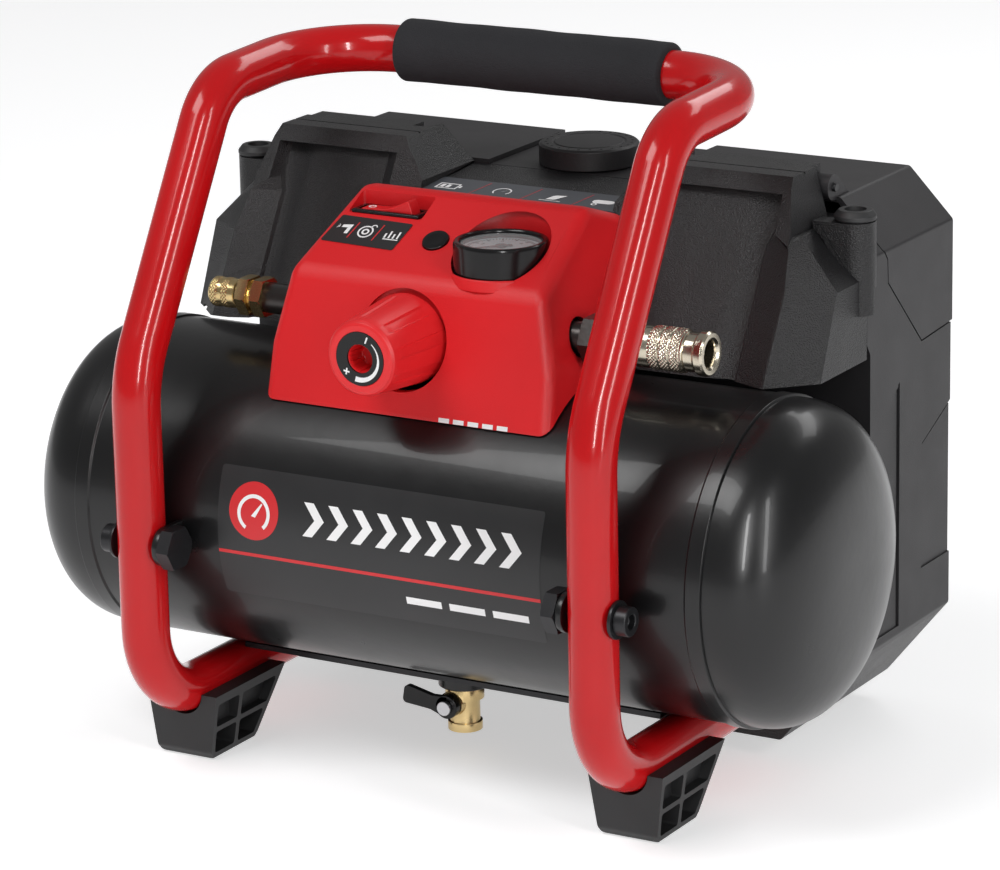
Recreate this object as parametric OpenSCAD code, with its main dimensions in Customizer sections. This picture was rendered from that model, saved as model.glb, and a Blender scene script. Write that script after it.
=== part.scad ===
// Portable oil-free air compressor: a pressure tank in a bent tube frame, with a battery housing
// behind it, a control panel on top, a quick coupler, a safety valve and a drain tap.
// X runs along the tank, +Y points to the rear and +Z points up. The origin is on the floor,
// under the middle of the overall box. Left is -X.

/* [Tank] */
// Outer radius of the tank shell
tank_r = 73; // [60:0.5:75]
// Half of the length of the tank over its domed ends
tank_half_l = 199.4; // [180:0.1:210]
// Half of the distance between the two end seams
seam_x = 161.2; // [150:0.1:165]
// Height of the tank axis above the floor
tank_z = 117.3; // [115:0.1:125]

/* [Frame] */
// Outer radius of the bent tube
tube_r = 11; // [9:0.5:12]
// Distance of each side loop from the middle
loop_x = 116.1; // [112:0.1:120]
// Depth position of the upright tubes
upright_y = -123.4; // [-125:0.1:-120]
// Height of the handle bar
handle_z = 311; // [305:1:320]
// Length of the foam grip
grip_l = 139; // [110:1:140]
// Outer radius of the foam grip
grip_r = 14.65; // [13:0.05:16]

/* [Housing] */
// Half of the width of the battery housing
house_x = 163; // [160:0.5:166]
// Depth position of its rear wall
house_rear = 132.8; // [130:0.1:134]
// Height of the closed battery lids
lid_top = 257; // [255:0.5:260]
// Wall thickness of the moulded plastic
wall = 2.6; // [2:0.1:3.5]

/* [Controls] */
// Height of the air line through the panel
line_z = 210.5; // [209:0.5:212]
// Radius of the gauge bezel
gauge_r = 21.25; // [19:0.05:22]
// Radius of the pressure knob at its base
knob_r = 20.6; // [17:0.1:21]

/* [Pump] */
// Crank throw, half of the piston stroke
crank_throw = 6; // [4:0.5:6]
// Radius of the piston
piston_r = 22; // [18:0.5:23]

/* [Hidden] */
$fn = 64;

tank_y = -38.2;
shell_t = 2;
bead_w = 7.3;
bead_r = tank_r + 0.8;
dome_n = 2.6;

floor_z = 32.4;
socket_y = 58;
kink_z = 188.3;
knee = [-53.5, 306.9];
handle_y = 37.7;
bend_r = [38, 60, 32];
corner_r = 45;
tube_t = 1.5;
bolt_z = 110.8;

base_z = 11;
base_top = 45.7;
split_y = 44.3;
house_front = 48;
deck_z = 254.8;
hood_z = 272;
hood_rear = 61;
hinge = [58.8, 262];
pin_x = 61.8;
pin_r = 2;
lid_x0 = 41;
boss = [157.5, 44.1];
filter_y = 84.8;

panel_bottom = [-86.2, 171.5];
panel_edge = [-73.2, 233];
panel_back = [-22, 262];
deck_angle = atan2(panel_back[1] - panel_edge[1], panel_back[0] - panel_edge[0]);
line_y = -50.2;
gauge_x = 31;
gauge_top = 250.5;
knob_x = -3.5;
knob_z = 207.3;
knob_face = -114.2;
well_r = 24.8;
well_floor = 237.2;
switch_c = [-35.5, -33.5];
switch_z = 251.6;
reset_c = [-2.7, 26.7];

drain_z = 36;
lever_x = -2;
lever_y = -49;
lever_z = 28.5;

pump_y = 90;
crank_z = 80;
rod_l = 72;
pipe_x = 36;
run = 0.05;

// ---------- helpers ----------

// Draws a YZ outline and extrudes it along X from x0 to x1.
module side_profile(pts, x0, x1) {
    translate([x0, 0, 0]) rotate([90, 0, 90]) linear_extrude(x1 - x0) polygon(pts);
}

// Draws an XZ outline and extrudes it along Y from y0 to y1.
module front_profile(pts, y0, y1) {
    translate([0, y1, 0]) rotate([90, 0, 0]) linear_extrude(y1 - y0) polygon(pts);
}

// A cylinder along X, Y or Z that starts at p.
module rod_x(p, r, l) { translate(p) rotate([0, 90, 0]) cylinder(r = r, h = l); }
module rod_y(p, r, l) { translate(p) rotate([-90, 0, 0]) cylinder(r = r, h = l); }
module rod_z(p, r, l) { translate(p) cylinder(r = r, h = l); }

// A box between two corners.
module block(a, b) { translate(a) cube(b - a); }

// A regular hexagonal bar along X, r across the corners.
module hex_x(p, r, l) { translate(p) rotate([0, 90, 0]) cylinder(r = r, h = l, $fn = 6); }

module both_sides() { children(); mirror([1, 0, 0]) children(); }

// Moves an outline inward by t. The outline runs anticlockwise.
function unit(v) = v / norm(v);
function inward(a, b) = let (d = unit(b - a)) [-d[1], d[0]];
function inset(pts, t) = [for (i = [0:len(pts) - 1])
    let (n = len(pts), a = pts[(i + n - 1) % n], b = pts[i], c = pts[(i + 1) % n],
        n1 = inward(a, b), n2 = inward(b, c)) b + t / (1 + n1 * n2) * (n1 + n2)];

// Path of the side loop in the YZ plane: floor, upright, kink, knee and the start of the corner.
loop_path = [[socket_y, floor_z], [upright_y, floor_z], [upright_y, kink_z], knee, [handle_y, handle_z]];
function loop_dir(i) = unit(loop_path[i + 1] - loop_path[i]);
function loop_turn(i) = let (a = loop_dir(i - 1), b = loop_dir(i)) atan2(a[0] * b[1] - a[1] * b[0], a * b);
function setback(i) = i == 0 ? 0 : i == 4 ? corner_r : bend_r[i - 1] * tan(abs(loop_turn(i)) / 2);

// Ring section of the tube. A straight length is thinner by a hair and runs a little way into
// the bends, so that the two are one solid.
hair = 0.05;
lap = 0.5;
module tube_section(t = 0) {
    difference() {
        circle(tube_r - t);
        circle(tube_r - tube_t + t);
    }
}

// One side loop of the hollow tube, up to the handle bar.
module side_loop() {
    translate([loop_x, 0, 0]) rotate([90, 0, 90]) {
        for (i = [0:3]) {
            d = loop_dir(i);
            start = loop_path[i] + d * (setback(i) - lap);
            l = norm(loop_path[i + 1] - loop_path[i]) - setback(i) - setback(i + 1) + 2 * lap;
            translate(start) rotate([0, 0, atan2(d[1], d[0])]) rotate([0, 90, 0])
                linear_extrude(l) tube_section(hair);
        }
        for (i = [1:3]) {
            d = loop_dir(i - 1);
            side = sign(loop_turn(i));
            start = loop_path[i] - d * setback(i);
            centre = start + side * bend_r[i - 1] * [-d[1], d[0]];
            arm = start - centre;
            translate(centre) rotate([0, 0, atan2(arm[1], arm[0]) + min(0, loop_turn(i))])
                rotate_extrude(angle = abs(loop_turn(i))) translate([bend_r[i - 1], 0]) tube_section();
        }
    }
    rise = atan2(loop_dir(3)[1], loop_dir(3)[0]);
    translate([loop_x - corner_r, handle_y, handle_z]) rotate([rise, 0, 0]) translate([0, -corner_r, 0])
        rotate_extrude(angle = 90) translate([corner_r, 0]) tube_section();
}

// ---------- tank ----------

module tank_shell() {
    color("#141416") {
        difference() {
            union() {
                rod_x([-seam_x, tank_y, tank_z], tank_r, 2 * seam_x);
                for (s = [-seam_x, seam_x - bead_w]) rod_x([s, tank_y, tank_z], bead_r, bead_w);
            }
            rod_x([-seam_x - 1, tank_y, tank_z], tank_r - shell_t, 2 * seam_x + 2);
            rod_z([0, tank_y, tank_z + 40], 5, 40);
            rod_z([0, tank_y, 40], 5, 40);
            rod_y([36, 0, 150], 3, 40);
        }
        difference() {
            rod_z([0, tank_y, tank_z + tank_r - 1], 9, 6);
            rod_z([0, tank_y, tank_z + tank_r - 2], 5, 8);
        }
        difference() {
            rod_z([0, tank_y, drain_z], 12, 10);
            rod_z([0, tank_y, drain_z - 1], 5, 12);
        }
        difference() {
            rod_y([36, 23, 150], 7, 12);
            rod_y([36, 20, 150], 4.2, 20);
        }
    }
}

// Height of the dome over the seam plane at radius q of the outline, as a superellipse.
dome_h = tank_half_l - seam_x;
function dome(r, h) = [for (a = [0:6:90]) [h * pow(cos(a), 2 / dome_n), r * pow(sin(a), 2 / dome_n)]];

module tank_end(side) {
    outer = dome(tank_r - 0.4, dome_h);
    inner = dome(tank_r - 0.4 - shell_t, dome_h - shell_t);
    section = concat([for (p = outer) [p[1], p[0]]], [for (i = [len(inner) - 1:-1:0]) [inner[i][1], inner[i][0]]]);
    color("#141416") translate([side * (seam_x + 0.05), tank_y, tank_z]) rotate([0, side * 90, 0])
        rotate_extrude() polygon(section);
}

module tank_end_left() { tank_end(-1); }
module tank_end_right() { tank_end(1); }

// Welded lugs that the uprights are bolted to.
module tank_brackets() {
    color("#17171a") both_sides() difference() {
        union() {
            rod_x([102, upright_y, bolt_z], 9, 3);
            block([102, upright_y, bolt_z - 9], [105, -100, bolt_z + 9]);
        }
        rod_x([80, tank_y, tank_z], tank_r, 40);
        rod_x([100, upright_y, bolt_z], 3.3, 8);
    }
}

// ---------- frame ----------

module frame_tube() {
    color("#b3141c") difference() {
        union() {
            both_sides() side_loop();
            translate([corner_r - loop_x - lap, handle_y, handle_z]) rotate([0, 90, 0])
                linear_extrude(2 * (loop_x - corner_r + lap)) tube_section(hair);
        }
        both_sides() rod_x([loop_x - 15, upright_y, bolt_z], 3.3, 30);
    }
}

module cross_plate() {
    color("#141416") difference() {
        block([-109.8, tank_y - 15, 41.5], [109.8, tank_y + 15, 44]);
        rod_z([0, tank_y, 40], 12.3, 6);
    }
}

module handle_grip() {
    section = [[tube_r, -grip_l / 2], [grip_r - 3, -grip_l / 2], [grip_r, -grip_l / 2 + 4],
        [grip_r, grip_l / 2 - 4], [grip_r - 3, grip_l / 2], [tube_r, grip_l / 2]];
    color("#26262a") translate([0, handle_y, handle_z]) rotate([0, 90, 0]) rotate_extrude() polygon(section);
}

// Ribbed foot that cups the lower half of the tube.
module front_foot() {
    color("#1c1c1f") difference() {
        intersection() {
            front_profile([[101.8, 0], [130.7, 0], [134.7, 32], [96.9, 32]], -98, -38);
            side_profile([[-93, 0], [-61, 0], [-57.7, 3], [-39.4, 32], [-97.4, 32], [-96.3, 4]], 95, 136);
        }
        rod_y([loop_x, -100, floor_z], tube_r + 0.02, 64);
        rod_z([loop_x, -77, -1], 4.5, 9);
        rod_z([loop_x, -77, 7], 2.1, 20);
        for (x = [90, 126], z = [4, 14]) {
            block([x, -92, z], [x + 16, -77, z + 8]);
            block([x, -74, z], [x + 16, z == 4 ? -62 : -57, z + 8]);
        }
    }
}

module front_foot_right() { front_foot(); }
module front_foot_left() { mirror([1, 0, 0]) front_foot(); }

module rear_feet() {
    color("#1c1c1f") both_sides() difference() {
        translate([95, 84, 0]) cylinder(r1 = 14, r2 = 16, h = base_z);
        rod_z([95, 84, -1], 6, 6);
        rod_z([95, 84, 4], 2.95, 10);
    }
}

module foot_screws() {
    color("#8a8a8e") {
        both_sides() {
            rod_z([95, 84, 2.5], 5.5, 2.5);
            rod_z([95, 84, 5], 2.9, 12);
            rod_z([loop_x, -77, 5], 4.2, 3);
            rod_z([loop_x, -77, 8], 2, 13.3);
        }
    }
}

module frame_bolts() {
    color("#1b1b1e") both_sides() {
        rod_x([94, upright_y, bolt_z], 3.2, 36);
        difference() {
            rod_x([loop_x + tube_r + 1.6, upright_y, bolt_z], 6.5, 6);
            hex_x([loop_x + tube_r + 5, upright_y, bolt_z], 3.4, 4);
        }
    }
}

module frame_washers() {
    color("#2a2a2d") both_sides() difference() {
        rod_x([loop_x + tube_r + 0.05, upright_y, bolt_z], 8.5, 1.5);
        rod_x([loop_x, upright_y, bolt_z], 3.25, 20);
    }
}

module frame_nuts() {
    color("#1b1b1e") both_sides() difference() {
        hex_x([95.5, upright_y, bolt_z], 9, 6.4);
        rod_x([90, upright_y, bolt_z], 3.21, 20);
    }
}

// ---------- housing ----------

// Front view outline of the housing, anticlockwise as seen from the front.
house_outline = [[-131, base_z], [131, base_z], [house_x, 50], [house_x, 234], [141, lid_top],
    [-141, lid_top], [-house_x, 234], [-house_x, 50]];

module housing_base() {
    tray = [[22, base_z], [house_rear, base_z], [house_rear, base_top], [22, base_top]];
    color("#1d1d20") difference() {
        intersection() {
            front_profile(house_outline, 22, house_rear);
            side_profile(tray, -170, 170);
        }
        intersection() {
            front_profile(inset(house_outline, wall), 22, house_rear);
            side_profile([[22 + wall, base_z + wall], [house_rear - wall, base_z + wall],
                [house_rear - wall, 60], [22 + wall, 60]], -170, 170);
        }
        both_sides() rod_y([loop_x, 10, floor_z], tube_r + 0.05, 40);
        both_sides() rod_z([95, 84, 5], 3, 20);
    }
    color("#1d1d20") both_sides() difference() {
        rod_y([loop_x, 22 + wall, floor_z], tube_r + 2.2, socket_y - 22);
        rod_y([loop_x, 10, floor_z], tube_r + 0.05, socket_y - 9);
    }
}

// Side outline of the lid: top, rear wall and the triangular flank.
lid_outline = [[62, 235], [65.8, 230], [66.5, 219], [101.6, 184.3], [house_rear + 1.6, 186.4],
    [house_rear + 1.6, lid_top + 1], [62, lid_top + 1]];
rear_outline = [[house_front, base_top + 0.1], [house_rear, base_top + 0.1], [house_rear, deck_z],
    [62.5, deck_z], [62.5, 249.5], [split_y + 0.2, 249.5], [split_y + 0.2, 195], [house_front, 190]];

module housing_rear_shell() {
    color("#1d1d20") difference() {
        intersection() {
            front_profile(house_outline, split_y, house_rear);
            side_profile(rear_outline, -170, 170);
        }
        difference() {
            intersection() {
                front_profile(inset(house_outline, wall), split_y, house_rear);
                side_profile(inset(rear_outline, wall), -170, 170);
            }
            both_sides() block([lid_x0 - 1 - wall, split_y, 206], [lid_x0 - 1, house_rear, 260]);
        }
        block([-170, house_front - 1, base_top - 5], [170, house_front + 60, base_top - 1]);
        intersection() {
            front_profile(inset(house_outline, wall), house_front + wall, house_rear - wall);
            block([-160, house_front + wall, base_top - 1], [160, house_rear - wall, base_top + 10]);
        }
        both_sides() side_profile(inset(lid_outline, -0.4), lid_x0 - 0.4, 170);
        both_sides() rod_z([boss[0], boss[1] - 0.2, 235.8], 9.5, 20);
        rod_z([0, filter_y, 240], 18, 20);
        rod_y([pipe_x, 40, 150], 4.6, 20);
        both_sides() side_panel_cuts();
    }
}

// Shallow panels moulded into the flank of the rear shell.
module side_panel_cuts() {
    block([house_x - 0.8, 54, 54], [house_x + 2, 78.6, 168]);
    block([house_x - 0.8, 104, 75], [house_x + 2, house_rear + 2, 138]);
}

// The front face leans back from the foot of the shell.
shell_foot = [-20.2, 188.6];
lean = 45 / 78.4;
function face_y(z) = shell_foot[0] + (z - shell_foot[1]) * lean;

// Outline of the front shell at one height, t inside the skin.
module shell_slice(z, shoulder, side, t) {
    ridge = min(144, side - 3);
    translate([0, 0, z]) linear_extrude(0.1) polygon([[-side + t, split_y + 1], [-side + t, shoulder + t],
        [-ridge + t, face_y(z) + t], [ridge - t, face_y(z) + t], [side - t, shoulder + t], [side - t, split_y + 1]]);
}

module shoulder_body(t) {
    hull() {
        shell_slice(186, -2.7, house_x, t);
        shell_slice(226 - t / 2, 14.5, house_x, t);
        shell_slice(248 - t, 21, 142, t);
    }
}

hood_outline = [shell_foot, [face_y(267), 267], [29.8, hood_z], [hood_rear, hood_z], [hood_rear, 250], [44, 250],
    [44, 188.6]];
deck_outline = [shell_foot, [face_y(250.4), 250.4], [61.8, deck_z], [61.8, 250], [44, 250], [44, 188.6]];
deck_cavity = [shell_foot, [face_y(250.4), 250.4], [48, 253.4], [48, 188.6]];
hood_front = [[52.3, 188], [140, 188], [140, 250], [134, hood_z], [68, hood_z], [52.3, 254]];
function flip(pts) = [for (i = [len(pts) - 1:-1:0]) pts[i]];

module hood(t) {
    intersection() {
        side_profile(inset(flip(hood_outline), t), 40, 150);
        front_profile(inset(hood_front, t), -30, 70);
    }
}

boss_column = [[141, 243], [151, 219], [162, 209], [166.8, 217], [166.8, 252], [141, 252]];

module housing_front_shell() {
    color("#1d1d20") difference() {
        union() {
            intersection() {
                shoulder_body(0);
                block([-170, -30, 188.6], [170, split_y, 250]);
            }
            side_profile(deck_outline, -60, 60);
            both_sides() hood(0);
            both_sides() rod_z([boss[0], boss[1] - 0.2, 222], 9.3, 30);
            both_sides() front_profile(boss_column, 34.6, split_y);
        }
        intersection() {
            shoulder_body(wall);
            block([-170, -30, 150], [170, split_y + 2, 250 - wall]);
        }
        side_profile(inset(flip(deck_cavity), wall), -58, 58);
        both_sides() hood(wall);
        rod_x([-170, tank_y, tank_z], tank_r + 1.2, 340);
        block([-158, -10, 180], [158, split_y + 2, 190]);
        block([-138, 20, 200], [138, split_y + 2, 247]);
        both_sides() rod_z([boss[0], boss[1] - 0.2, 195], 2.6, 60);
        both_sides() block([146, split_y, 190], [170, split_y + 12, 236]);
        both_sides() block([131.6, 51.5, 249], [150, 70, 280]);
        both_sides() block([68.2, 51.5, 249], [75.4, 70, 280]);
        both_sides() rod_x([pin_x, hinge[0], hinge[1]], pin_r, 141 - pin_x);
    }
}

module corner_bushes() {
    color("#18181a") both_sides() translate([boss[0], boss[1] - 0.2, 252.05]) rotate_extrude()
        polygon([[5, 0], [8.6, 0], [9.5, 1], [9.5, 2.6], [7.6, 5], [5, 5]]);
}

module housing_screws() {
    color("#5b5b60") both_sides() {
        rod_z([boss[0], boss[1] - 0.2, 236], 2.6, 16.1);
        rod_z([boss[0], boss[1] - 0.2, 252.1], 4.2, 2);
    }
}

// Shell lid that turns about the hinge pin, drawn for the right side.
module battery_lid() {
    ear_x = [[132.2, 139.4], [68.6, 75]];
    color("#222226") difference() {
        union() {
            difference() {
                intersection() {
                    front_profile(house_outline, 62, house_rear + 1.6);
                    side_profile(lid_outline, lid_x0, 170);
                }
                intersection() {
                    front_profile(inset(house_outline, wall), 60, house_rear + 1.6 - wall);
                    side_profile([[60, 180], [house_rear + 1.6 - wall, 180], [house_rear + 1.6 - wall, lid_top],
                        [60, lid_top]], lid_x0 + wall, 170);
                }
            }
            for (x = ear_x) {
                rod_x([x[0], hinge[0], hinge[1]], 6, x[1] - x[0]);
                side_profile([[56, 256.8], [66, 254.5], [74, 256.9], [62, hinge[1] + 5]], x[0], x[1]);
            }
        }
        rod_x([40, hinge[0], hinge[1]], pin_r + run, 105);
        block([40, 50, 240], [68.4, 62.2, 280]);
        block([75.2, 50, 240], [131.6, 62.2, 280]);
    }
}

module battery_lid_right() { battery_lid(); }
module battery_lid_left() { mirror([1, 0, 0]) battery_lid(); }

module lid_hinge_pins() {
    color("#9a9a9e") both_sides() rod_x([pin_x, hinge[0], hinge[1]], pin_r, 141 - pin_x);
}

module battery_bays() {
    color("#1a1a1d") both_sides() difference() {
        block([45, 66, 187], [157, 126, 226]);
        block([47, 68, 189], [155, 124, 230]);
        for (x = [64, 136]) rod_z([x, 96, 180], 2.2, 20);
    }
}

module battery_pack() {
    color("#2a2a2e") {
        side_profile([[70, 189.1], [122, 189.1], [122, 238], [112, 246], [80, 246], [70, 238]], 49, 145);
        block([145.1, 78, 196], [149, 114, 222]);
    }
}

module battery_pack_right() { battery_pack(); }
module battery_pack_left() { mirror([1, 0, 0]) battery_pack(); }

module battery_contacts() {
    color("#b98f45") both_sides() for (y = [82, 96, 110]) block([150, y - 1, 194], [154.9, y + 1, 214]);
}

// ---------- intake filter ----------

module filter_seat() {
    color("#1a1a1d") difference() {
        union() {
            rod_z([0, filter_y, 206], 17.8, 56);
            rod_z([0, filter_y, deck_z + 0.1], 19.6, 2);
        }
        rod_z([0, filter_y, 222], 15.8, 50);
        rod_z([0, filter_y, 200], 5, 30);
    }
}

module filter_element() {
    color("#d9d4c4") difference() {
        rod_z([0, filter_y, 224], 15.5, 36);
        rod_z([0, filter_y, 220], 7, 45);
    }
}

module filter_cap() {
    color("#242428") difference() {
        rod_z([0, filter_y, deck_z + 0.4], 23.5, 10);
        rod_z([0, filter_y, deck_z], 20, 7.6);
        for (a = [0:15:345]) translate([0, filter_y, deck_z + 9.8]) rotate([0, 0, a])
            translate([20.6, -0.6, 0]) cube([1.4, 1.2, 2]);
    }
}

// ---------- control panel ----------

panel_outline = [panel_bottom, [-30, 171.5], [-20.6, 189.4], [14.2, 250.2], [-19.5, 262], panel_back, panel_edge];
panel_front = [[-74, 171], [74, 171], [73, 199], [64.5, 236], [58, 263], [-58, 263], [-64.5, 236], [-73, 199]];

// Side outline of the space inside the panel before the wall is taken off.
panel_space = [panel_bottom, [-30, 171.5], [-20.6, 189.4], [14.2, 250.2], [-21, 262.4], panel_edge];

module panel_body(outline, t) {
    intersection() {
        side_profile(inset(outline, t), -80, 80);
        front_profile(inset(panel_front, t), -100, 20);
        translate([0, 0, 150]) linear_extrude(120) union() {
            polygon([[-74 + t, 20], [-74 + t, -80.2], [74 - t, -80.2], [74 - t, 20]]);
            translate([-68 + t, -86.2]) square([136 - 2 * t, 12]);
            for (s = [-1, 1]) translate([s * 68 - s * t, -80.2]) circle(6);
        }
    }
}

// Places its children on the sloping deck, x across and y up the slope.
module on_deck() { translate([0, panel_edge[0], panel_edge[1]]) rotate([deck_angle, 0, 0]) children(); }

module control_panel() {
    color("#c8161d") difference() {
        union() {
            difference() {
                panel_body(panel_outline, 0);
                panel_body(panel_space, 2.4);
                block([-71, -79, 160], [71, -19, 190]);
            }
            intersection() {
                union() {
                    rod_y([knob_x, -90, knob_z], 24.5, 20);
                    rod_z([gauge_x, line_y, 230], well_r + 2.2, 40);
                    block([-57, -41.4, 247], [-14.4, -24, 264]);
                }
                panel_body(panel_outline, 0);
            }
            rod_z([gauge_x, line_y, 232], 22.95, well_floor - 232);
        }
        rod_y([knob_x, -100, knob_z], 22.5, 28);
        rod_y([knob_x, -80, knob_z], 16, 20);
        rod_z([gauge_x, line_y, 225], 22.2, 60);
        rod_z([gauge_x, line_y, well_floor], well_r, 60);
        block([-55, -40, switch_z], [-16.5, -25.5, 275]);
        block([-52, -38.5, 240], [-19.4, -28, 260]);
        on_deck() rod_z([reset_c[0], reset_c[1], -20], 6.3, 40);
        rod_x([-90, line_y, line_z], 9, 180);
        rod_x([-170, tank_y, tank_z], bead_r + 0.1, 340);
        both_sides() translate([63.5, line_y, line_z]) rotate([0, 70, 0]) cylinder(r = 13, h = 20);
    }
}

module info_strip() {
    color("#3b3f45") side_profile([[14.6, 250.4], [36, 252.47], [36, 253.2], [14.6, 251.15]], -52, 52);
}

module switch_bezel() {
    color("#141416") difference() {
        union() {
            block([-53.4, -39.6, switch_z], [-18, -26.6, switch_z + 2]);
            block([-51.6, -38.2, 236], [-19.8, -28.3, switch_z]);
        }
        block([-51, -37.4, 238], [-20.4, -29.4, switch_z + 3]);
        rod_y([switch_c[0], -39, switch_z - 5.6], 1.65, 14);
    }
}

module rocker_switch() {
    color("#d21c22") {
        side_rocker();
        rod_y([switch_c[0], -38.1, switch_z - 5.6], 1.6, 9.7);
    }
}

// Rocker seen from the front: its left end is pressed down and its right end stands up.
module side_rocker() {
    front_profile([[-49.6, switch_z + 0.2], [-47, switch_z - 4], [-35.5, switch_z - 8], [-24, switch_z - 5],
        [-22.4, switch_z + 1], [-23.2, switch_z + 4], [-24.6, switch_z + 7.6], [-35.5, switch_z + 2.6],
        [-49.6, switch_z + 2.2]], -37.1, -29.7);
}

module reset_button() {
    color("#1b1b1e") on_deck() translate([reset_c[0], reset_c[1], 0]) {
        rod_z([0, 0, -7], 3, 6);
        rod_z([0, 0, -1.4], 6.1, 2.2);
    }
}

module overload_breaker() {
    color("#2b2b2e") on_deck() translate([reset_c[0], reset_c[1], 0]) difference() {
        translate([-6.2, -7, -20]) cube([12.4, 14, 15.4]);
        rod_z([0, 0, -11], 3.1, 10);
    }
}

// ---------- gauge ----------

module gauge_case() {
    color("#121214") difference() {
        union() {
            rod_z([gauge_x, line_y, 222], 19.8, 20);
            rod_z([gauge_x, line_y, 236], gauge_r, gauge_top - 236);
            rod_z([gauge_x, line_y, line_z + 6.9], 5, 8);
        }
        rod_z([gauge_x, line_y, 240], 19, 20);
    }
}

module gauge_dial() {
    color("#c9cbcc") difference() {
        rod_z([gauge_x, line_y, 247], 18.9, 0.8);
        rod_z([gauge_x, line_y, 246], 1.3, 3);
    }
}

module gauge_needle() {
    color("#151515") {
        rod_z([gauge_x, line_y, 243], 1.2, 5.6);
        rod_z([gauge_x, line_y, 248], 2.6, 1);
        translate([gauge_x, line_y, 248.2]) rotate([0, 0, 225]) linear_extrude(0.5)
            polygon([[-5, -1.1], [-5, 1.1], [14.5, 0.3], [14.5, -0.3]]);
    }
}

module gauge_lens() {
    color("#dfe6ea") rod_z([gauge_x, line_y, 249.2], 18.9, 1);
}

// ---------- air line ----------

module manifold() {
    color("#8d8f92") difference() {
        union() {
            block([-13, -66, line_z - 12], [13, -36, line_z + 10.5]);
            rod_x([-92, line_y, line_z], 7, 176);
            rod_z([0, tank_y, tank_z + tank_r - 2], 4.9, 20);
            rod_z([0, tank_y - 3.8, 195.4], 8, 4);
        }
        rod_x([-93, line_y, line_z], 4, 180);
    }
}

module regulator_body() {
    color("#a9abae") {
        rod_y([knob_x, -82, knob_z], 15, 15.9);
        rod_y([knob_x, knob_face + 20.2, knob_z], 4, 14);
    }
}

module regulator_knob() {
    color("#cf2027") difference() {
        translate([knob_x, knob_face, knob_z]) rotate([-90, 0, 0]) rotate_extrude()
            polygon([[0, 0], [14.6, 0], [16.6, 1], [17.4, 3], [knob_r, 36], [knob_r, 40], [0, 40]]);
        rod_y([knob_x, knob_face - 1, knob_z], 12.1, 2.2);
        rod_y([knob_x, knob_face - 1, knob_z], 6.4, 13);
        rod_y([knob_x, knob_face + 18.2, knob_z], 4 + run, 30);
        rod_y([knob_x, knob_face + 24.2, knob_z], 16.2, 17);
    }
}

module knob_ring() {
    color("#26292b") difference() {
        rod_y([knob_x, knob_face + 0.1, knob_z], 12, 1);
        rod_y([knob_x, knob_face - 1, knob_z], 6.4, 4);
    }
}

coupler_end = 135;
module coupler_body() {
    color("#a8a08f") difference() {
        union() {
            hex_x([75, line_y, line_z], 10.4, 8);
            rod_x([76, line_y, line_z], 8, coupler_end - 77);
            rod_x([coupler_end - 9.8, line_y, line_z], 8.8, 9);
            rod_x([coupler_end - 4.6, line_y, line_z], 10, 4.6);
        }
        rod_x([coupler_end - 26, line_y, line_z], 5.8, 30);
        rod_x([70, line_y, line_z], 7 + 0.02, 14.02);
    }
}

module coupler_sleeve() {
    color("#b5ad9c") difference() {
        union() {
            rod_x([91, line_y, line_z], 9.4, 33.6);
            for (x = [108, 113.4, 118.8]) rod_x([x, line_y, line_z], 9.9, 4.6);
        }
        rod_x([80, line_y, line_z], 8 + run, 60);
    }
}

module safety_valve_body() {
    color("#b39a5e") difference() {
        union() {
            hex_x([-105, line_y, line_z], 8.4, 5.5);
            hex_x([-97, line_y, line_z], 8.4, 5.6);
            rod_x([-106.8, line_y, line_z], 6.4, 14.4);
            rod_x([-119, line_y, line_z], 3, 14);
        }
        rod_x([-92.05, line_y, line_z], 7 + 0.02, 10);
    }
}

module safety_valve_cap() {
    color("#b39a5e") difference() {
        union() {
            rod_x([-121, line_y, line_z], 6.8, 13.8);
            for (x = [-120, -114]) rod_x([x, line_y, line_z], 7.1, 3);
        }
        rod_x([-119.4, line_y, line_z], 3 + run, 14);
    }
}

// ---------- drain tap ----------

module drain_valve_body() {
    color("#b08d4e") difference() {
        union() {
            rod_z([0, tank_y, 18], 7, 18);
            rod_z([0, tank_y, 30], 9, 5.9);
            rod_y([lever_x, lever_y + 1.2, lever_z], 6, 12);
            rod_z([0, tank_y, 15], 8, 4);
        }
        rod_z([0, tank_y, 10], 3, 22);
        rod_y([lever_x, lever_y - 4, lever_z], 2, 12);
    }
}

module drain_lever() {
    color("#151517") difference() {
        union() {
            rod_y([lever_x, lever_y - 3, lever_z], 5.6, 4);
            translate([lever_x, lever_y - 3, lever_z]) rotate([0, 9, 0])
                front_profile([[-22.7, -4.4], [-8, -3.4], [3, -5], [3, 5], [-8, 3.4], [-22.7, 4.4]], 0, 3);
        }
        rod_y([lever_x, lever_y - 5, lever_z], 2 + run, 12);
    }
}

module drain_screw() {
    color("#b9bbbe") {
        rod_y([lever_x, lever_y - 3.2, lever_z], 2, 11);
        rod_y([lever_x, lever_y - 5.4, lever_z], 3.4, 2.2);
    }
}

// ---------- pump ----------

pin_z = crank_z - crank_throw;

module motor_housing() {
    color("#6f7277") difference() {
        rod_x([26.1, pump_y, crank_z], 30, 62);
        rod_x([29, pump_y, crank_z], 27, 56);
        rod_x([20, pump_y, crank_z], 4 + run, 80);
        for (a = [0:60:300]) translate([20, pump_y, crank_z]) rotate([a, 0, 0])
            translate([0, 0, 18]) rod_x([0, 0, 0], 4, 80);
    }
}

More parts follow.
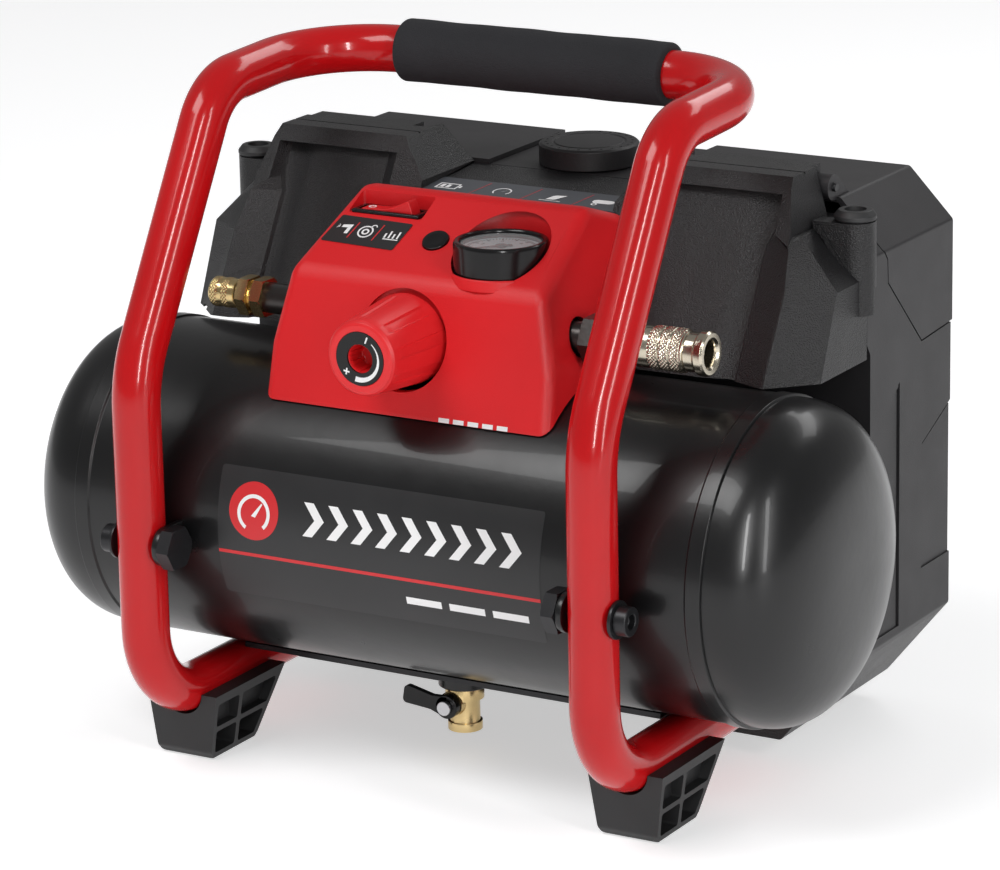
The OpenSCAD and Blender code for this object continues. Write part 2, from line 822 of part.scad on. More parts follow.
module crankshaft() {
    color("#9b9da1") {
        rod_x([8, pump_y, crank_z], 4, 96);
        rod_x([34, pump_y, crank_z], 18, 46);
        rod_x([8, pump_y, crank_z], 15, 6);
        rod_x([-5, pump_y, pin_z], 4, 14);
        intersection() {
            rod_x([8, pump_y, crank_z], 21, 6);
            block([7, pump_y - 12, crank_z], [15, pump_y + 12, crank_z + 30]);
        }
    }
}

module cooling_fan() {
    color("#2b2b2e") difference() {
        union() {
            rod_x([92, pump_y, crank_z], 10, 12);
            for (a = [0:40:320]) translate([98, pump_y, crank_z]) rotate([a, 0, 0]) translate([0, 0, 20])
                rotate([0, 0, 28]) cube([13, 1.4, 26], center = true);
        }
        rod_x([90, pump_y, crank_z], 4, 20);
    }
}

module connecting_rod() {
    color("#b9bbbe") difference() {
        union() {
            rod_x([-3, pump_y, pin_z], 10, 6);
            rod_x([-3, pump_y, pin_z + rod_l], 6, 6);
            block([-2.5, pump_y - 4, pin_z], [2.5, pump_y + 4, pin_z + rod_l]);
        }
        rod_x([-6, pump_y, pin_z], 4 + run, 14);
        rod_x([-6, pump_y, pin_z + rod_l], 3.1, 14);
    }
}

module piston() {
    crown = pin_z + rod_l + 19;
    color("#c7c9cc") {
        rod_z([0, pump_y, crown], piston_r, 7);
        both_sides() block([3.6, pump_y - 5, crown - 25], [8, pump_y + 5, crown]);
        both_sides() rod_x([8, pump_y, crown - 19], 3, 5);
    }
}

module pump_cylinder() {
    color("#85888c") difference() {
        union() {
            rod_z([0, pump_y, 138.1], piston_r + 4, 51.8);
            for (z = [146:8:186]) rod_z([0, pump_y, z], piston_r + 9, 2);
        }
        rod_z([0, pump_y, 130], piston_r + run, 70);
    }
}

module cylinder_head() {
    color("#85888c") difference() {
        union() {
            block([-29, pump_y - 29, 190], [29, pump_y + 29, 194]);
            block([-24, pump_y - 24, 194], [24, pump_y + 24, 205.9]);
            rod_x([24, pump_y, 199], 6, 4);
        }
        rod_z([0, filter_y, 193], 5, 20);
        rod_x([10, pump_y, 199], 3.4, 30);
        for (x = [-25, 25], y = [-25, 25]) rod_z([x, pump_y + y, 180], 2.2, 30);
    }
}

module pump_frame() {
    color("#5d6064") difference() {
        union() {
            block([20, 60, base_z + wall + 0.1], [26, 120, 134]);
            block([-30, 60, 134], [30, 120, 138]);
            block([-30, 60, base_z + wall + 0.1], [-24, 120, 134]);
            block([-24, 60, base_z + wall + 0.1], [20, 120, base_z + wall + 4]);
        }
        rod_x([10, pump_y, crank_z], 4 + run, 30);
        rod_z([0, pump_y, 130], piston_r + 0.2, 20);
        rod_x([-40, pump_y, crank_z], 24, 20);
    }
}

module delivery_pipe() {
    color("#b87a4b") {
        rod_x([28.1, pump_y, 199], 4, pipe_x - 28.1);
        translate([pipe_x, pump_y, 199]) sphere(4);
        rod_z([pipe_x, pump_y, 150], 4, 49);
        translate([pipe_x, pump_y, 150]) sphere(4);
        rod_y([pipe_x, 29.2, 150], 4, pump_y - 29.2);
    }
}

module pressure_switch() {
    color("#3a3a3e") {
        block([-120, 70, 100], [-60, 112, 150]);
        rod_y([-90, 60, 125], 6, 10);
    }
}

tank_shell();
tank_end_left();
tank_end_right();
tank_brackets();
frame_tube();
cross_plate();
handle_grip();
front_foot_left();
front_foot_right();
rear_feet();
foot_screws();
frame_bolts();
frame_washers();
frame_nuts();
housing_base();
housing_rear_shell();
housing_front_shell();
corner_bushes();
housing_screws();
battery_lid_left();
battery_lid_right();
lid_hinge_pins();
battery_bays();
battery_pack_left();
battery_pack_right();
battery_contacts();
filter_cap();
filter_element();
filter_seat();
control_panel();
info_strip();
switch_bezel();
rocker_switch();
reset_button();
overload_breaker();
gauge_case();
gauge_dial();
gauge_needle();
gauge_lens();
regulator_body();
regulator_knob();
knob_ring();
manifold();
coupler_body();
coupler_sleeve();
safety_valve_body();
safety_valve_cap();
drain_valve_body();
drain_lever();
drain_screw();
motor_housing();
crankshaft();
cooling_fan();
connecting_rod();
piston();
pump_cylinder();
cylinder_head();
pump_frame();
delivery_pipe();
pressure_switch();
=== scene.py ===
# A portable battery air compressor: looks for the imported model. Lengths in this file are in
# millimetres in the frame's axes, and mm() turns them into metres.
from math import atan2, cos, pi, radians, sin, sqrt, tan

import bmesh
import bpy
from mathutils import Matrix, Quaternion, Vector


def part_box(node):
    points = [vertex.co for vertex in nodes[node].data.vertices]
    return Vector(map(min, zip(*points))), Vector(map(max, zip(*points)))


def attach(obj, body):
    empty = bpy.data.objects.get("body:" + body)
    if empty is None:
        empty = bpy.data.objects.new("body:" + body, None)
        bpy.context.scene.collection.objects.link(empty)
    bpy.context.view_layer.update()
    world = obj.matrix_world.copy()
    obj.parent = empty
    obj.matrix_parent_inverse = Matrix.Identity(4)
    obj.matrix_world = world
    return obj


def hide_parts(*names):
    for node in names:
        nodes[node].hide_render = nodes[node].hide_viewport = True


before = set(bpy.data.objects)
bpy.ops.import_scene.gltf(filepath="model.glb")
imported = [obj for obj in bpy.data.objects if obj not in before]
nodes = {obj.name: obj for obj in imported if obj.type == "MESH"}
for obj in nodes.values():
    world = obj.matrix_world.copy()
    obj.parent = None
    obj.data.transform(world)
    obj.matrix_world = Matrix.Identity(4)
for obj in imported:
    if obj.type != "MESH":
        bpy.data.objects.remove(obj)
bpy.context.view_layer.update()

MM = 0.001
ROOT = "compressor"


def mm(*values):
    return Vector(values) * MM


# ---------------------------------------------------------------- materials


def link(tree, a, b):
    tree.links.new(a, b)


def preset(node, **values):
    """Sets a node's inputs. An underscore in a name stands for a space."""
    for name, value in values.items():
        node.inputs[name.replace("_", " ")].default_value = value


def noise(tree, coords, scale, detail):
    """The height of a noise texture."""
    tex = tree.nodes.new("ShaderNodeTexNoise")
    preset(tex, Scale=scale, Detail=detail)
    link(tree, coords, tex.inputs["Vector"])
    return tex.outputs["Fac"]


def bump_layer(tree, coords, scale, depth, kind="noise", normal=None):
    """A bump of that depth in mm at that many bumps a metre, over an earlier bump."""
    if kind == "noise":
        height = noise(tree, coords, scale, 2.0)
    else:
        tex = tree.nodes.new("ShaderNodeTexVoronoi")
        preset(tex, Scale=scale)
        link(tree, coords, tex.inputs["Vector"])
        height = tex.outputs["Distance"]
    bump = tree.nodes.new("ShaderNodeBump")
    preset(bump, Strength=1.0, Distance=depth * MM)
    link(tree, height, bump.inputs["Height"])
    if normal:
        link(tree, normal, bump.inputs["Normal"])
    return bump.outputs["Normal"]


def material(name, color, rough, *grains, metal=0.0, vary=0.12, coat=0.0, specular=0.5):
    """A principled material whose colour and roughness drift over the surface, with layers of grain."""
    mat = bpy.data.materials.new(name)
    mat.use_nodes = True
    tree = mat.node_tree
    shader = tree.nodes["Principled BSDF"]
    preset(shader, Metallic=metal, Specular_IOR_Level=specular, Coat_Weight=coat, Coat_Roughness=0.04)
    coords = tree.nodes.new("ShaderNodeTexCoord").outputs["Object"]
    ramp = tree.nodes.new("ShaderNodeValToRGB")
    for stop, place, change in zip(ramp.color_ramp.elements, (0.3, 0.7), (1 - vary, 1 + vary)):
        stop.position = place
        stop.color = [min(1, c * change) for c in color] + [1]
    link(tree, noise(tree, coords, 14.0, 4.0), ramp.inputs["Fac"])
    link(tree, ramp.outputs["Color"], shader.inputs["Base Color"])
    spread = tree.nodes.new("ShaderNodeMapRange")
    preset(spread, To_Min=max(0.02, rough - 0.06), To_Max=min(1, rough + 0.06))
    link(tree, noise(tree, coords, 60.0, 5.0), spread.inputs["Value"])
    link(tree, spread.outputs["Result"], shader.inputs["Roughness"])
    normal = None
    for grain in grains:
        normal = bump_layer(tree, coords, *grain, normal=normal)
    if normal:
        link(tree, normal, shader.inputs["Normal"])
    return mat


SPARK = ((1500, 0.6), (700, 0.08))
tank_paint = material("tank_paint", (0.006, 0.006, 0.0065), 0.3, (160, 0.05), coat=0.15, specular=0.35)
frame_paint = material("frame_paint", (0.50, 0.005, 0.007), 0.2, (220, 0.03), vary=0.06, coat=0.35, specular=0.2)
dark_metal = material("dark_metal", (0.016, 0.016, 0.018), 0.35, (700, 0.02), metal=0.4)
foam = material("foam", (0.018, 0.018, 0.021), 0.85, (1500, 0.22, "voronoi"), (300, 0.12), specular=0.3)
foot_rubber = material("foot_rubber", (0.013, 0.013, 0.014), 0.55, (1800, 0.04))
housing_plastic = material("housing_plastic", (0.008, 0.0075, 0.0085), 0.4, *SPARK, specular=0.42)
flank_plastic = material("flank_plastic", (0.018, 0.0168, 0.0185), 0.5, (1900, 0.1), specular=0.4)
lid_plastic = material("lid_plastic", (0.020, 0.0186, 0.0205), 0.5, (1900, 0.1), specular=0.4)
red_plastic = material("red_plastic", (0.70, 0.010, 0.014), 0.42, (2400, 0.1), vary=0.04, specular=0.35)
knob_plastic = material("knob_plastic", (0.74, 0.016, 0.020), 0.36, (1500, 0.02), vary=0.04, specular=0.4)
black_plastic = material("black_plastic", (0.006, 0.006, 0.0065), 0.2, (800, 0.01), specular=0.3)
steel = material("steel", (0.52, 0.52, 0.53), 0.3, (900, 0.01), metal=1.0)
nickel = material("nickel", (0.62, 0.56, 0.45), 0.2, (900, 0.006), metal=1.0)
brass = material("brass", (0.60, 0.45, 0.22), 0.24, (900, 0.01), metal=1.0)
alloy = material("alloy", (0.5, 0.5, 0.51), 0.45, (1200, 0.05), metal=1.0)
gunmetal = material("gunmetal", (0.055, 0.05, 0.048), 0.3, (500, 0.05), metal=0.85)
copper = material("copper", (0.66, 0.36, 0.2), 0.3, (600, 0.01), metal=1.0)
dial_face = material("dial_face", (0.27, 0.28, 0.29), 0.5)
strip_grey = material("strip_grey", (0.055, 0.06, 0.07), 0.35)
label_black = material("label_black", (0.014, 0.014, 0.015), 0.4)
ink_white = material("ink_white", (0.86, 0.86, 0.86), 0.45, vary=0.03)
ink_red = material("ink_red", (0.62, 0.015, 0.02), 0.42, vary=0.05)
filter_paper = material("filter_paper", (0.7, 0.66, 0.55), 0.9, (900, 0.3))


def lens_material():
    mat = bpy.data.materials.new("lens_glass")
    mat.use_nodes = True
    preset(mat.node_tree.nodes["Principled BSDF"], Base_Color=(0.95, 0.97, 0.98, 1), Roughness=0.03, Alpha=0.16)
    return mat


lens_glass = lens_material()

# ---------------------------------------------------------------- mesh helpers


def add(name, data):
    """A new object in the scene."""
    obj = bpy.data.objects.new(name, data)
    bpy.context.scene.collection.objects.link(obj)
    return obj


def paint(obj, mat):
    """Gives an object its only material."""
    obj.data.materials.clear()
    obj.data.materials.append(mat)
    return obj


def smooth(mesh, angle=32):
    mesh.shade_smooth()
    mesh.set_sharp_from_angle(angle=radians(angle))


def ray(angle):
    """The direction at an angle, and the direction a quarter turn on from it."""
    return Vector((cos(angle), sin(angle))), Vector((-sin(angle), cos(angle)))


def span(side, near, far):
    """The low and high x of a stretch that lies on one side of the middle plane."""
    return sorted((side * near, side * far))


def make(name, bm, mat=None):
    """An object from a bmesh whose coordinates are in millimetres."""
    bmesh.ops.scale(bm, vec=(MM, MM, MM), verts=bm.verts)
    bmesh.ops.recalc_face_normals(bm, faces=bm.faces)
    mesh = bpy.data.meshes.new(name)
    bm.to_mesh(mesh)
    bm.free()
    obj = add(name, mesh)
    if mat:
        mesh.materials.append(mat)
    smooth(mesh)
    return obj


def settle(obj):
    """Applies an object's modifiers to its mesh."""
    graph = bpy.context.evaluated_depsgraph_get()
    mesh = bpy.data.meshes.new_from_object(obj.evaluated_get(graph))
    obj.modifiers.clear()
    obj.data = mesh
    smooth(mesh)
    return obj


def bevel(obj, width, segments=3, angle=30):
    """Rounds the edges sharper than angle, after clearing needless vertices."""
    weld = obj.modifiers.new("weld", "WELD")
    weld.merge_threshold = 0.02 * MM
    flat = obj.modifiers.new("flat", "DECIMATE")
    flat.decimate_type = "DISSOLVE"
    flat.angle_limit = radians(0.3)
    mod = obj.modifiers.new("bevel", "BEVEL")
    mod.width = width * MM
    mod.segments = segments
    mod.limit_method = "ANGLE"
    mod.angle_limit = radians(angle)
    mod.use_clamp_overlap = True
    return settle(obj)


def combine(obj, tools, how):
    """Adds, cuts or intersects obj with each tool, and removes the tools."""
    for tool in tools:
        mod = obj.modifiers.new("combine", "BOOLEAN")
        mod.object = tool
        mod.operation = how
        mod.solver = "EXACT"
        settle(obj)
        bpy.data.objects.remove(tool)
    return obj


def cut(obj, *tools):
    return combine(obj, tools, "DIFFERENCE")


def join(obj, *tools):
    return combine(obj, tools, "UNION")


def meet(obj, *tools):
    return combine(obj, tools, "INTERSECT")


AXES = {"X": lambda u, v, w: (w, u, v), "Y": lambda u, v, w: (u, w, v), "Z": lambda u, v, w: (u, v, w)}


def prism(outline, axis, low, high, name="prism"):
    """Extrudes an outline along an axis. The outline is (y, z), (x, z) or (x, y)."""
    bm = bmesh.new()
    place = AXES[axis]
    ends = [[bm.verts.new(place(u, v, w)) for u, v in outline] for w in (low, high)]
    bm.faces.new(ends[0])
    bm.faces.new(ends[1])
    count = len(outline)
    for i in range(count):
        k = (i + 1) % count
        bm.faces.new((ends[0][i], ends[0][k], ends[1][k], ends[1][i]))
    return make(name, bm)


def box(low, high):
    (x0, y0, z0), (x1, y1, z1) = low, high
    return prism([(x0, y0), (x1, y0), (x1, y1), (x0, y1)], "Z", z0, z1, "box")


def fillet(points, radii, steps=6):
    """Rounds a closed outline's corners. radii is one number or one for each corner."""
    out = []
    count = len(points)
    for i, p in enumerate(points):
        r = radii[i] if isinstance(radii, (list, tuple)) else radii
        a, p, b = Vector(points[i - 1]), Vector(p), Vector(points[(i + 1) % count])
        da, db = a - p, b - p
        half = da.angle(db) / 2
        if r <= 0 or half > radians(89):
            out.append(p)
            continue
        reach = min(r / tan(half), da.length * 0.49, db.length * 0.49)
        r = reach * tan(half)
        centre = p + (da.normalized() + db.normalized()).normalized() * (r / sin(half))
        start, end = p + da.normalized() * reach - centre, p + db.normalized() * reach - centre
        for k in range(steps + 1):
            out.append(centre + turn(start, end, k / steps))
    return out


def turn(start, end, t):
    """A 2D radius turned part of the way from start to end."""
    a = atan2(start.y, start.x)
    d = (atan2(end.y, end.x) - a + pi) % (2 * pi) - pi
    return Vector((cos(a + d * t), sin(a + d * t))) * start.length


def round_profile(points, radius, steps=4):
    """Rounds the inner corners of an open lathe profile and keeps its ends."""
    rounded = fillet(points, [0] + [radius] * (len(points) - 2) + [0], steps)
    return [tuple(p) for p in rounded]


ALONG = {
    "X": lambda s, a, b: (s, a, b),
    "Y": lambda s, a, b: (b, s, a),
    "Z": lambda s, a, b: (a, b, s),
}


def lathe(name, profile, axis, centre, mat=None, count=96, ripple=None):
    """Turns a profile of (distance along the axis, radius). ripple(along, angle) adds to the radius."""
    bm = bmesh.new()
    place = ALONG[axis]
    rings = []
    for s, r in profile:
        if r < 1e-6:
            rings.append([bm.verts.new(place(s, 0, 0))])
            continue
        ring = []
        for i in range(count):
            a = 2 * pi * i / count
            q = r + (ripple(s, a) if ripple else 0)
            ring.append(bm.verts.new(place(s, q * cos(a), q * sin(a))))
        rings.append(ring)
    for one, two in zip(rings, rings[1:]):
        for i in range(count):
            k = (i + 1) % count
            corners = [one[i % len(one)], one[k % len(one)], two[k % len(two)], two[i % len(two)]]
            corners = list(dict.fromkeys(corners))
            if len(corners) > 2:
                bm.faces.new(corners)
    closed = len(rings[0]) == 1 or profile[0] == profile[-1]
    for ring in (rings[0], rings[-1]):
        if not closed and len(ring) > 1:
            bm.faces.new(ring)
    bmesh.ops.remove_doubles(bm, verts=bm.verts, dist=1e-5)
    bmesh.ops.translate(bm, vec=centre, verts=bm.verts)
    return make(name, bm, mat)


def rod(axis, start, radius, length, count=48):
    return lathe("rod", [(0, 0), (0, radius), (length, radius), (length, 0)], axis, start, count=count)


def sweep(name, path, radius, mat, count):
    """A round bar along a 3D path."""
    bm = bmesh.new()
    path = [Vector(p) for p in path]
    tangent = (path[1] - path[0]).normalized()
    side = tangent.orthogonal().normalized()
    rings = []
    for i, p in enumerate(path):
        ahead = path[min(i + 1, len(path) - 1)] - path[max(i - 1, 0)]
        fresh = ahead.normalized()
        side = (tangent.rotation_difference(fresh) @ side).normalized()
        tangent = fresh
        up = tangent.cross(side)
        rings.append([
            bm.verts.new(p + radius * (cos(a) * side + sin(a) * up))
            for a in (2 * pi * k / count for k in range(count))
        ])
    for one, two in zip(rings, rings[1:]):
        for k in range(count):
            n = (k + 1) % count
            bm.faces.new((one[k], one[n], two[n], two[k]))
    bm.faces.new(rings[0])
    bm.faces.new(rings[-1])
    return make(name, bm, mat)


def arc_path(points, radii, steps=14):
    """A 3D path through points, with an arc of each radius at the points between its ends."""
    out = [Vector(points[0])]
    for i in range(1, len(points) - 1):
        p = Vector(points[i])
        da, db = Vector(points[i - 1]) - p, Vector(points[i + 1]) - p
        half = da.angle(db) / 2
        reach = radii[i - 1] / tan(half)
        centre = p + (da.normalized() + db.normalized()).normalized() * (radii[i - 1] / sin(half))
        start, end = p + da.normalized() * reach - centre, p + db.normalized() * reach - centre
        whole = start.rotation_difference(end)
        for k in range(steps + 1):
            out.append(centre + Quaternion(whole.axis, whole.angle * k / steps) @ start)
    out.append(Vector(points[-1]))
    return out


def flip_x(obj, name):
    """A copy of an object on the other side of the middle plane."""
    twin = obj.copy()
    twin.data = obj.data.copy()
    twin.name = name
    bpy.context.scene.collection.objects.link(twin)
    twin.data.transform(Matrix.Scale(-1, 4, (1, 0, 0)))
    twin.data.flip_normals()
    smooth(twin.data)
    return twin


def merge(objs, name):
    """Several objects as one mesh."""
    bm = bmesh.new()
    mats = []
    for obj in objs:
        start = len(bm.faces)
        bm.from_mesh(obj.data)
        bm.faces.ensure_lookup_table()
        for face in bm.faces[start:]:
            old = obj.data.materials[face.material_index] if obj.data.materials else None
            if old and old not in mats:
                mats.append(old)
            face.material_index = mats.index(old) if old else 0
        bpy.data.objects.remove(obj)
    mesh = bpy.data.meshes.new(name)
    bm.to_mesh(mesh)
    bm.free()
    for mat in mats:
        mesh.materials.append(mat)
    smooth(mesh)
    return add(name, mesh)


def show(obj, body, slot, *replaced, mat=None):
    """Puts a finished piece on its body, in place of CAD nodes."""
    if mat:
        paint(obj, mat)
    even = obj.modifiers.new("even", "WEIGHTED_NORMAL")
    even.keep_sharp = True
    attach(obj, body)
    if replaced:
        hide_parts(*replaced)
    return obj


def dress(node, mat, edge=0.4):
    """Gives a CAD node its material, and rounds its edges."""
    obj = paint(nodes[node], mat)
    weld = obj.modifiers.new("weld", "WELD")
    weld.merge_threshold = 1e-6
    flat = obj.modifiers.new("flat", "DECIMATE")
    flat.decimate_type = "DISSOLVE"
    flat.angle_limit = radians(0.5)
    if edge:
        mod = obj.modifiers.new("bevel", "BEVEL")
        mod.width = edge * MM
        mod.segments = 2
        mod.limit_method = "ANGLE"
        mod.angle_limit = radians(35)
    return obj


# ---------------------------------------------------------------- tank

tank_low, tank_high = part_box("tank_end_right")
TANK_Y = (tank_low.y + tank_high.y) / 2 / MM
TANK_Z = (tank_low.z + tank_high.z) / 2 / MM
TANK_R = 73.0
SEAM = tank_low.x / MM
HALF_L = tank_high.x / MM
BEAD_W, BEAD_R = 7.3, 73.8


def tank_bore(radius):
    """The space that another piece leaves round the tank."""
    return rod("X", (-170, TANK_Y, TANK_Z), radius, 340, 128)


def tank():
    """The tank's shell between its two seam beads, its bungs and its domed ends."""
    centre = (0, TANK_Y, TANK_Z)
    half = [(0, TANK_R), (SEAM - BEAD_W - 0.9, TANK_R), (SEAM - BEAD_W, BEAD_R), (SEAM - 0.5, BEAD_R),
            (SEAM - 0.1, TANK_R - 0.4), (SEAM - 0.1, TANK_R - 2.5)]
    profile = [(-s, r) for s, r in reversed(half[1:])] + half[1:]
    shell = lathe("tank_body", round_profile(profile, 0.35), "X", centre, tank_paint, 192)
    lugs = []
    for z, r, length in ((TANK_Z + TANK_R - 1, 9, 6), (36, 12, 10)):
        bung = round_profile([(0, 0), (0, r), (length, r), (length, 0)], 0.8)
        lugs.append(lathe("bung", bung, "Z", (0, TANK_Y, z), tank_paint, 48))
    lugs.append(lathe("bung", [(0, 0), (0, 7), (12, 7), (12, 0)], "Y", (36, 23, 150), tank_paint, 32))
    show(merge([shell] + lugs, "tank_body"), ROOT, "tank_paint", "tank_shell")
    power, height, rim = 2.6, HALF_L - SEAM, TANK_R - 0.4
    dome = [(height * cos(t) ** (2 / power), rim * sin(t) ** (2 / power))
            for t in (radians(90 * k / 40) for k in range(41))]
    dome[0], dome[-1] = (height, 0), (0, rim)
    profile = [(SEAM + s, r) for s, r in dome] + [(SEAM, rim - 2.5)]
    end = lathe("tank_dome_right", profile, "X", centre, tank_paint, 192)
    show(end, ROOT, "tank_paint", "tank_end_right")
    show(flip_x(end, "tank_dome_left"), ROOT, "tank_paint", "tank_end_left")


tank()

# ---------------------------------------------------------------- tube frame

LOOP_X, TUBE_R = 116.1, 11.0
UPRIGHT_Y, FLOOR_Z, KINK_Z = -123.4, 32.4, 188.3
KNEE = (-53.5, 306.9)
HANDLE_Y, HANDLE_Z = 37.7, 311.0
PAD_X, PAD_Y = 95, 84
BOLT_Z = 110.8


def tube_frame():
    """One bent tube: two floor rails, two uprights and the handle between them."""
    half = [(58, FLOOR_Z), (UPRIGHT_Y, FLOOR_Z), (UPRIGHT_Y, KINK_Z), KNEE, (HANDLE_Y, HANDLE_Z)]
    points = [(-LOOP_X, y, z) for y, z in half] + [(LOOP_X, y, z) for y, z in reversed(half)]
    radii = [38, 60, 32, 45]
    bar = sweep("bent_tube", arc_path(points, radii + radii[::-1], 18), TUBE_R, frame_paint, 48)
    show(bar, ROOT, "frame_paint", "frame_tube")


tube_frame()


def hand_grip():
    """A foam sleeve round the handle, slightly uneven between its rounded ends."""
    half, r, inner, end = 69.5, 14.45, TUBE_R - 0.3, 4
    profile = [(-half, inner), (-half, r - 2), (-half + 1, r), (half - 1, r), (half, r - 2), (half, inner)]
    rounded = round_profile(profile, 2.4, 5)
    left = [p for p in rounded if p[0] < end - half]
    right = [p for p in rounded if p[0] > half - end]
    middle = [(-half + end + k * (2 * half - 2 * end) / 60, r) for k in range(1, 60)]
    wave = lambda s, a: 0.12 * sin(s / 9 + 2 * a) + 0.08 * sin(s / 4.3 - 3 * a)
    grip = lathe("foam_grip", left + middle + right, "X", (0, HANDLE_Y, HANDLE_Z), foam, 64, wave)
    show(grip, ROOT, "foam", "handle_grip")


hand_grip()

# ---------------------------------------------------------------- fasteners and feet


def inset(points, t):
    """Moves every side of a closed outline inwards by t."""
    area = sum(a[0] * b[1] - b[0] * a[1] for a, b in zip(points, points[1:] + points[:1]))
    sign = 1 if area > 0 else -1
    out = []
    count = len(points)
    for i in range(count):
        a, p, b = (Vector(points[k % count]) for k in (i - 1, i, i + 1))
        one, two = (p - a).normalized(), (b - p).normalized()
        n1, n2 = Vector((-one.y, one.x)) * sign, Vector((-two.y, two.x)) * sign
        middle = (n1 + n2).normalized()
        out.append(tuple(p + middle * (t / max(0.2, middle.dot(n1)))))
    return out


def mirror_pair(build, left, right, bodies, slot, node_left, node_right):
    """Shows a piece built for the right side and its mirror image."""
    obj = build()
    obj.name = right
    twin = flip_x(obj, left)
    show(obj, bodies[1], slot, node_right)
    show(twin, bodies[0], slot, node_left)


def hexagon(start, flats, length):
    """A hexagonal bar along X with chamfered corners. flats is the distance across its flats."""
    x, y, z = start
    chamfer, r = 0.8, flats / sqrt(3)
    points = [(y + r * cos(k * pi / 3), z + r * sin(k * pi / 3)) for k in range(6)]
    bar = prism(points, "X", x, x + length, "hexagon")
    rise = chamfer * 0.6
    profile = [(0, 0), (0, r - chamfer), (rise, r), (length - rise, r), (length, r - chamfer), (length, 0)]
    return meet(bar, lathe("disc", profile, "X", start, count=48))


def foot():
    """A ribbed foot that cups the lower half of the tube, for the right side."""
    front = [(101.8, 0.8), (105, 0), (128, 0), (130.7, 0.8), (134.7, 32), (96.9, 32)]
    side = [(-93, 0), (-61, 0), (-57.7, 3), (-39.4, 32), (-97.4, 32), (-96.3, 4)]
    body = prism(fillet(front, [1, 1, 1, 1, 0, 0]), "Y", -98, -38)
    body = meet(body, prism(fillet(side, [2, 1, 2, 0, 0, 3]), "X", 95, 136))
    lower = [[(-93.5, 3.4), (-77.6, 3.4), (-77.4, 14), (-94.2, 14)],
             [(-74.8, 3.4), (-61.2, 3.4), (-54, 14), (-74.6, 14)]]
    upper = [[(-94.4, 16.4), (-77.3, 16.4), (-77, 27.5), (-94.6, 27.5)],
             [(-74.5, 16.4), (-52.4, 16.4), (-45.6, 27.5), (-74.2, 27.5)]]
    tools = []
    for outer in (True, False):
        for cells, far, near in ((lower, 121, 111), (upper, 127.8, 103.8)):
            low, high = (far, 140) if outer else (90, near)
            tools += [prism(fillet(cell, 1.4, 3), "X", low, high) for cell in cells]
    tools += [rod("Y", (LOOP_X, -100, FLOOR_Z), TUBE_R + 0.05, 64), rod("Z", (LOOP_X, -77, -1), 4.5, 9)]
    return paint(bevel(cut(body, *tools), 0.6, 2), foot_rubber)


mirror_pair(foot, "front_foot_pad_left", "front_foot_pad_right", (ROOT, ROOT), "foot_rubber",
            "front_foot_left", "front_foot_right")


def rear_pads():
    """Two round pads under the housing."""
    pads = []
    for x in (-PAD_X, PAD_X):
        profile = round_profile([(0, 4.2), (0, 13), (1.5, 14.3), (11, 16), (11, 4.2)], 0.7)
        pads.append(lathe("pad", profile + [profile[0]], "Z", (x, PAD_Y, 0), foot_rubber, 64))
    show(merge(pads, "rear_foot_pads"), ROOT, "foot_rubber", "rear_feet")


rear_pads()


def bolts():
    """The bolts through the uprights, and their nuts."""
    heads, nuts = [], []
    profile = round_profile([(-30, 0), (-30, 3.2), (0, 3.2), (0, 6.5), (6, 6.5), (6, 3.4), (2.6, 3.4), (2.6, 0)], 0.5)
    for side in (-1, 1):
        head = lathe("bolt", [(s, max(0, r)) for s, r in profile], "X",
                     (LOOP_X + TUBE_R + 1.6, UPRIGHT_Y, BOLT_Z), dark_metal, 48)
        nut = paint(hexagon((95.5, UPRIGHT_Y, BOLT_Z), 18, 6.4), dark_metal)
        if side < 0:
            for obj in (head, nut):
                obj.data.transform(Matrix.Scale(-1, 4, (1, 0, 0)))
                obj.data.flip_normals()
        heads.append(head)
        nuts.append(nut)
    show(merge(heads, "bracket_bolts"), ROOT, "black_metal", "frame_bolts")
    show(merge(nuts, "bracket_nuts"), ROOT, "black_metal", "frame_nuts")


bolts()

# ---------------------------------------------------------------- housing

HOUSE = [(-131, 11), (131, 11), (163, 50), (163, 234), (141, 257), (-141, 257), (-163, 234), (-163, 50)]
SPLIT_Y, HOUSE_FRONT, HOUSE_REAR = 44.3, 48.0, 132.8
HINGE = (58.8, 262.0)
LID = [(62, 235), (65.8, 230), (66.5, 219), (101.6, 184.3), (134.4, 186.4), (134.4, 258), (62, 258)]
LID_X0, WALL = 41.0, 2.6
FILTER_Y, DECK_TOP = 84.8, 254.8
POST_X, POST_Y, POST_R = 157.5, 43.9, 9.3


def house_block(t, low, high):
    return prism(fillet(inset(HOUSE, t), 2.5 if t == 0 else 0, 3), "Y", low, high)


def base_tray():
    """The tray under the housing, with a cuff for each floor rail."""
    body = meet(house_block(0, 22, HOUSE_REAR), box((-170, 22, 11), (170, HOUSE_REAR, 45.7)))
    hollow = meet(house_block(WALL, 22 + WALL, HOUSE_REAR - WALL), box((-170, 20, 13.6), (170, 140, 60)))
    body = cut(body, hollow)
    for side in (-1, 1):
        body = join(body, rod("Y", (side * LOOP_X, 22.5, FLOOR_Z), TUBE_R + 2.2, 35.8))
    for side in (-1, 1):
        body = cut(body, rod("Y", (side * LOOP_X, 10, FLOOR_Z), TUBE_R + 0.1, 48.2))
        body = cut(body, rod("Z", (side * PAD_X, PAD_Y, 5), 3, 20))
    show(bevel(body, 0.7, 2), ROOT, "housing_plastic", "housing_base", mat=housing_plastic)


base_tray()


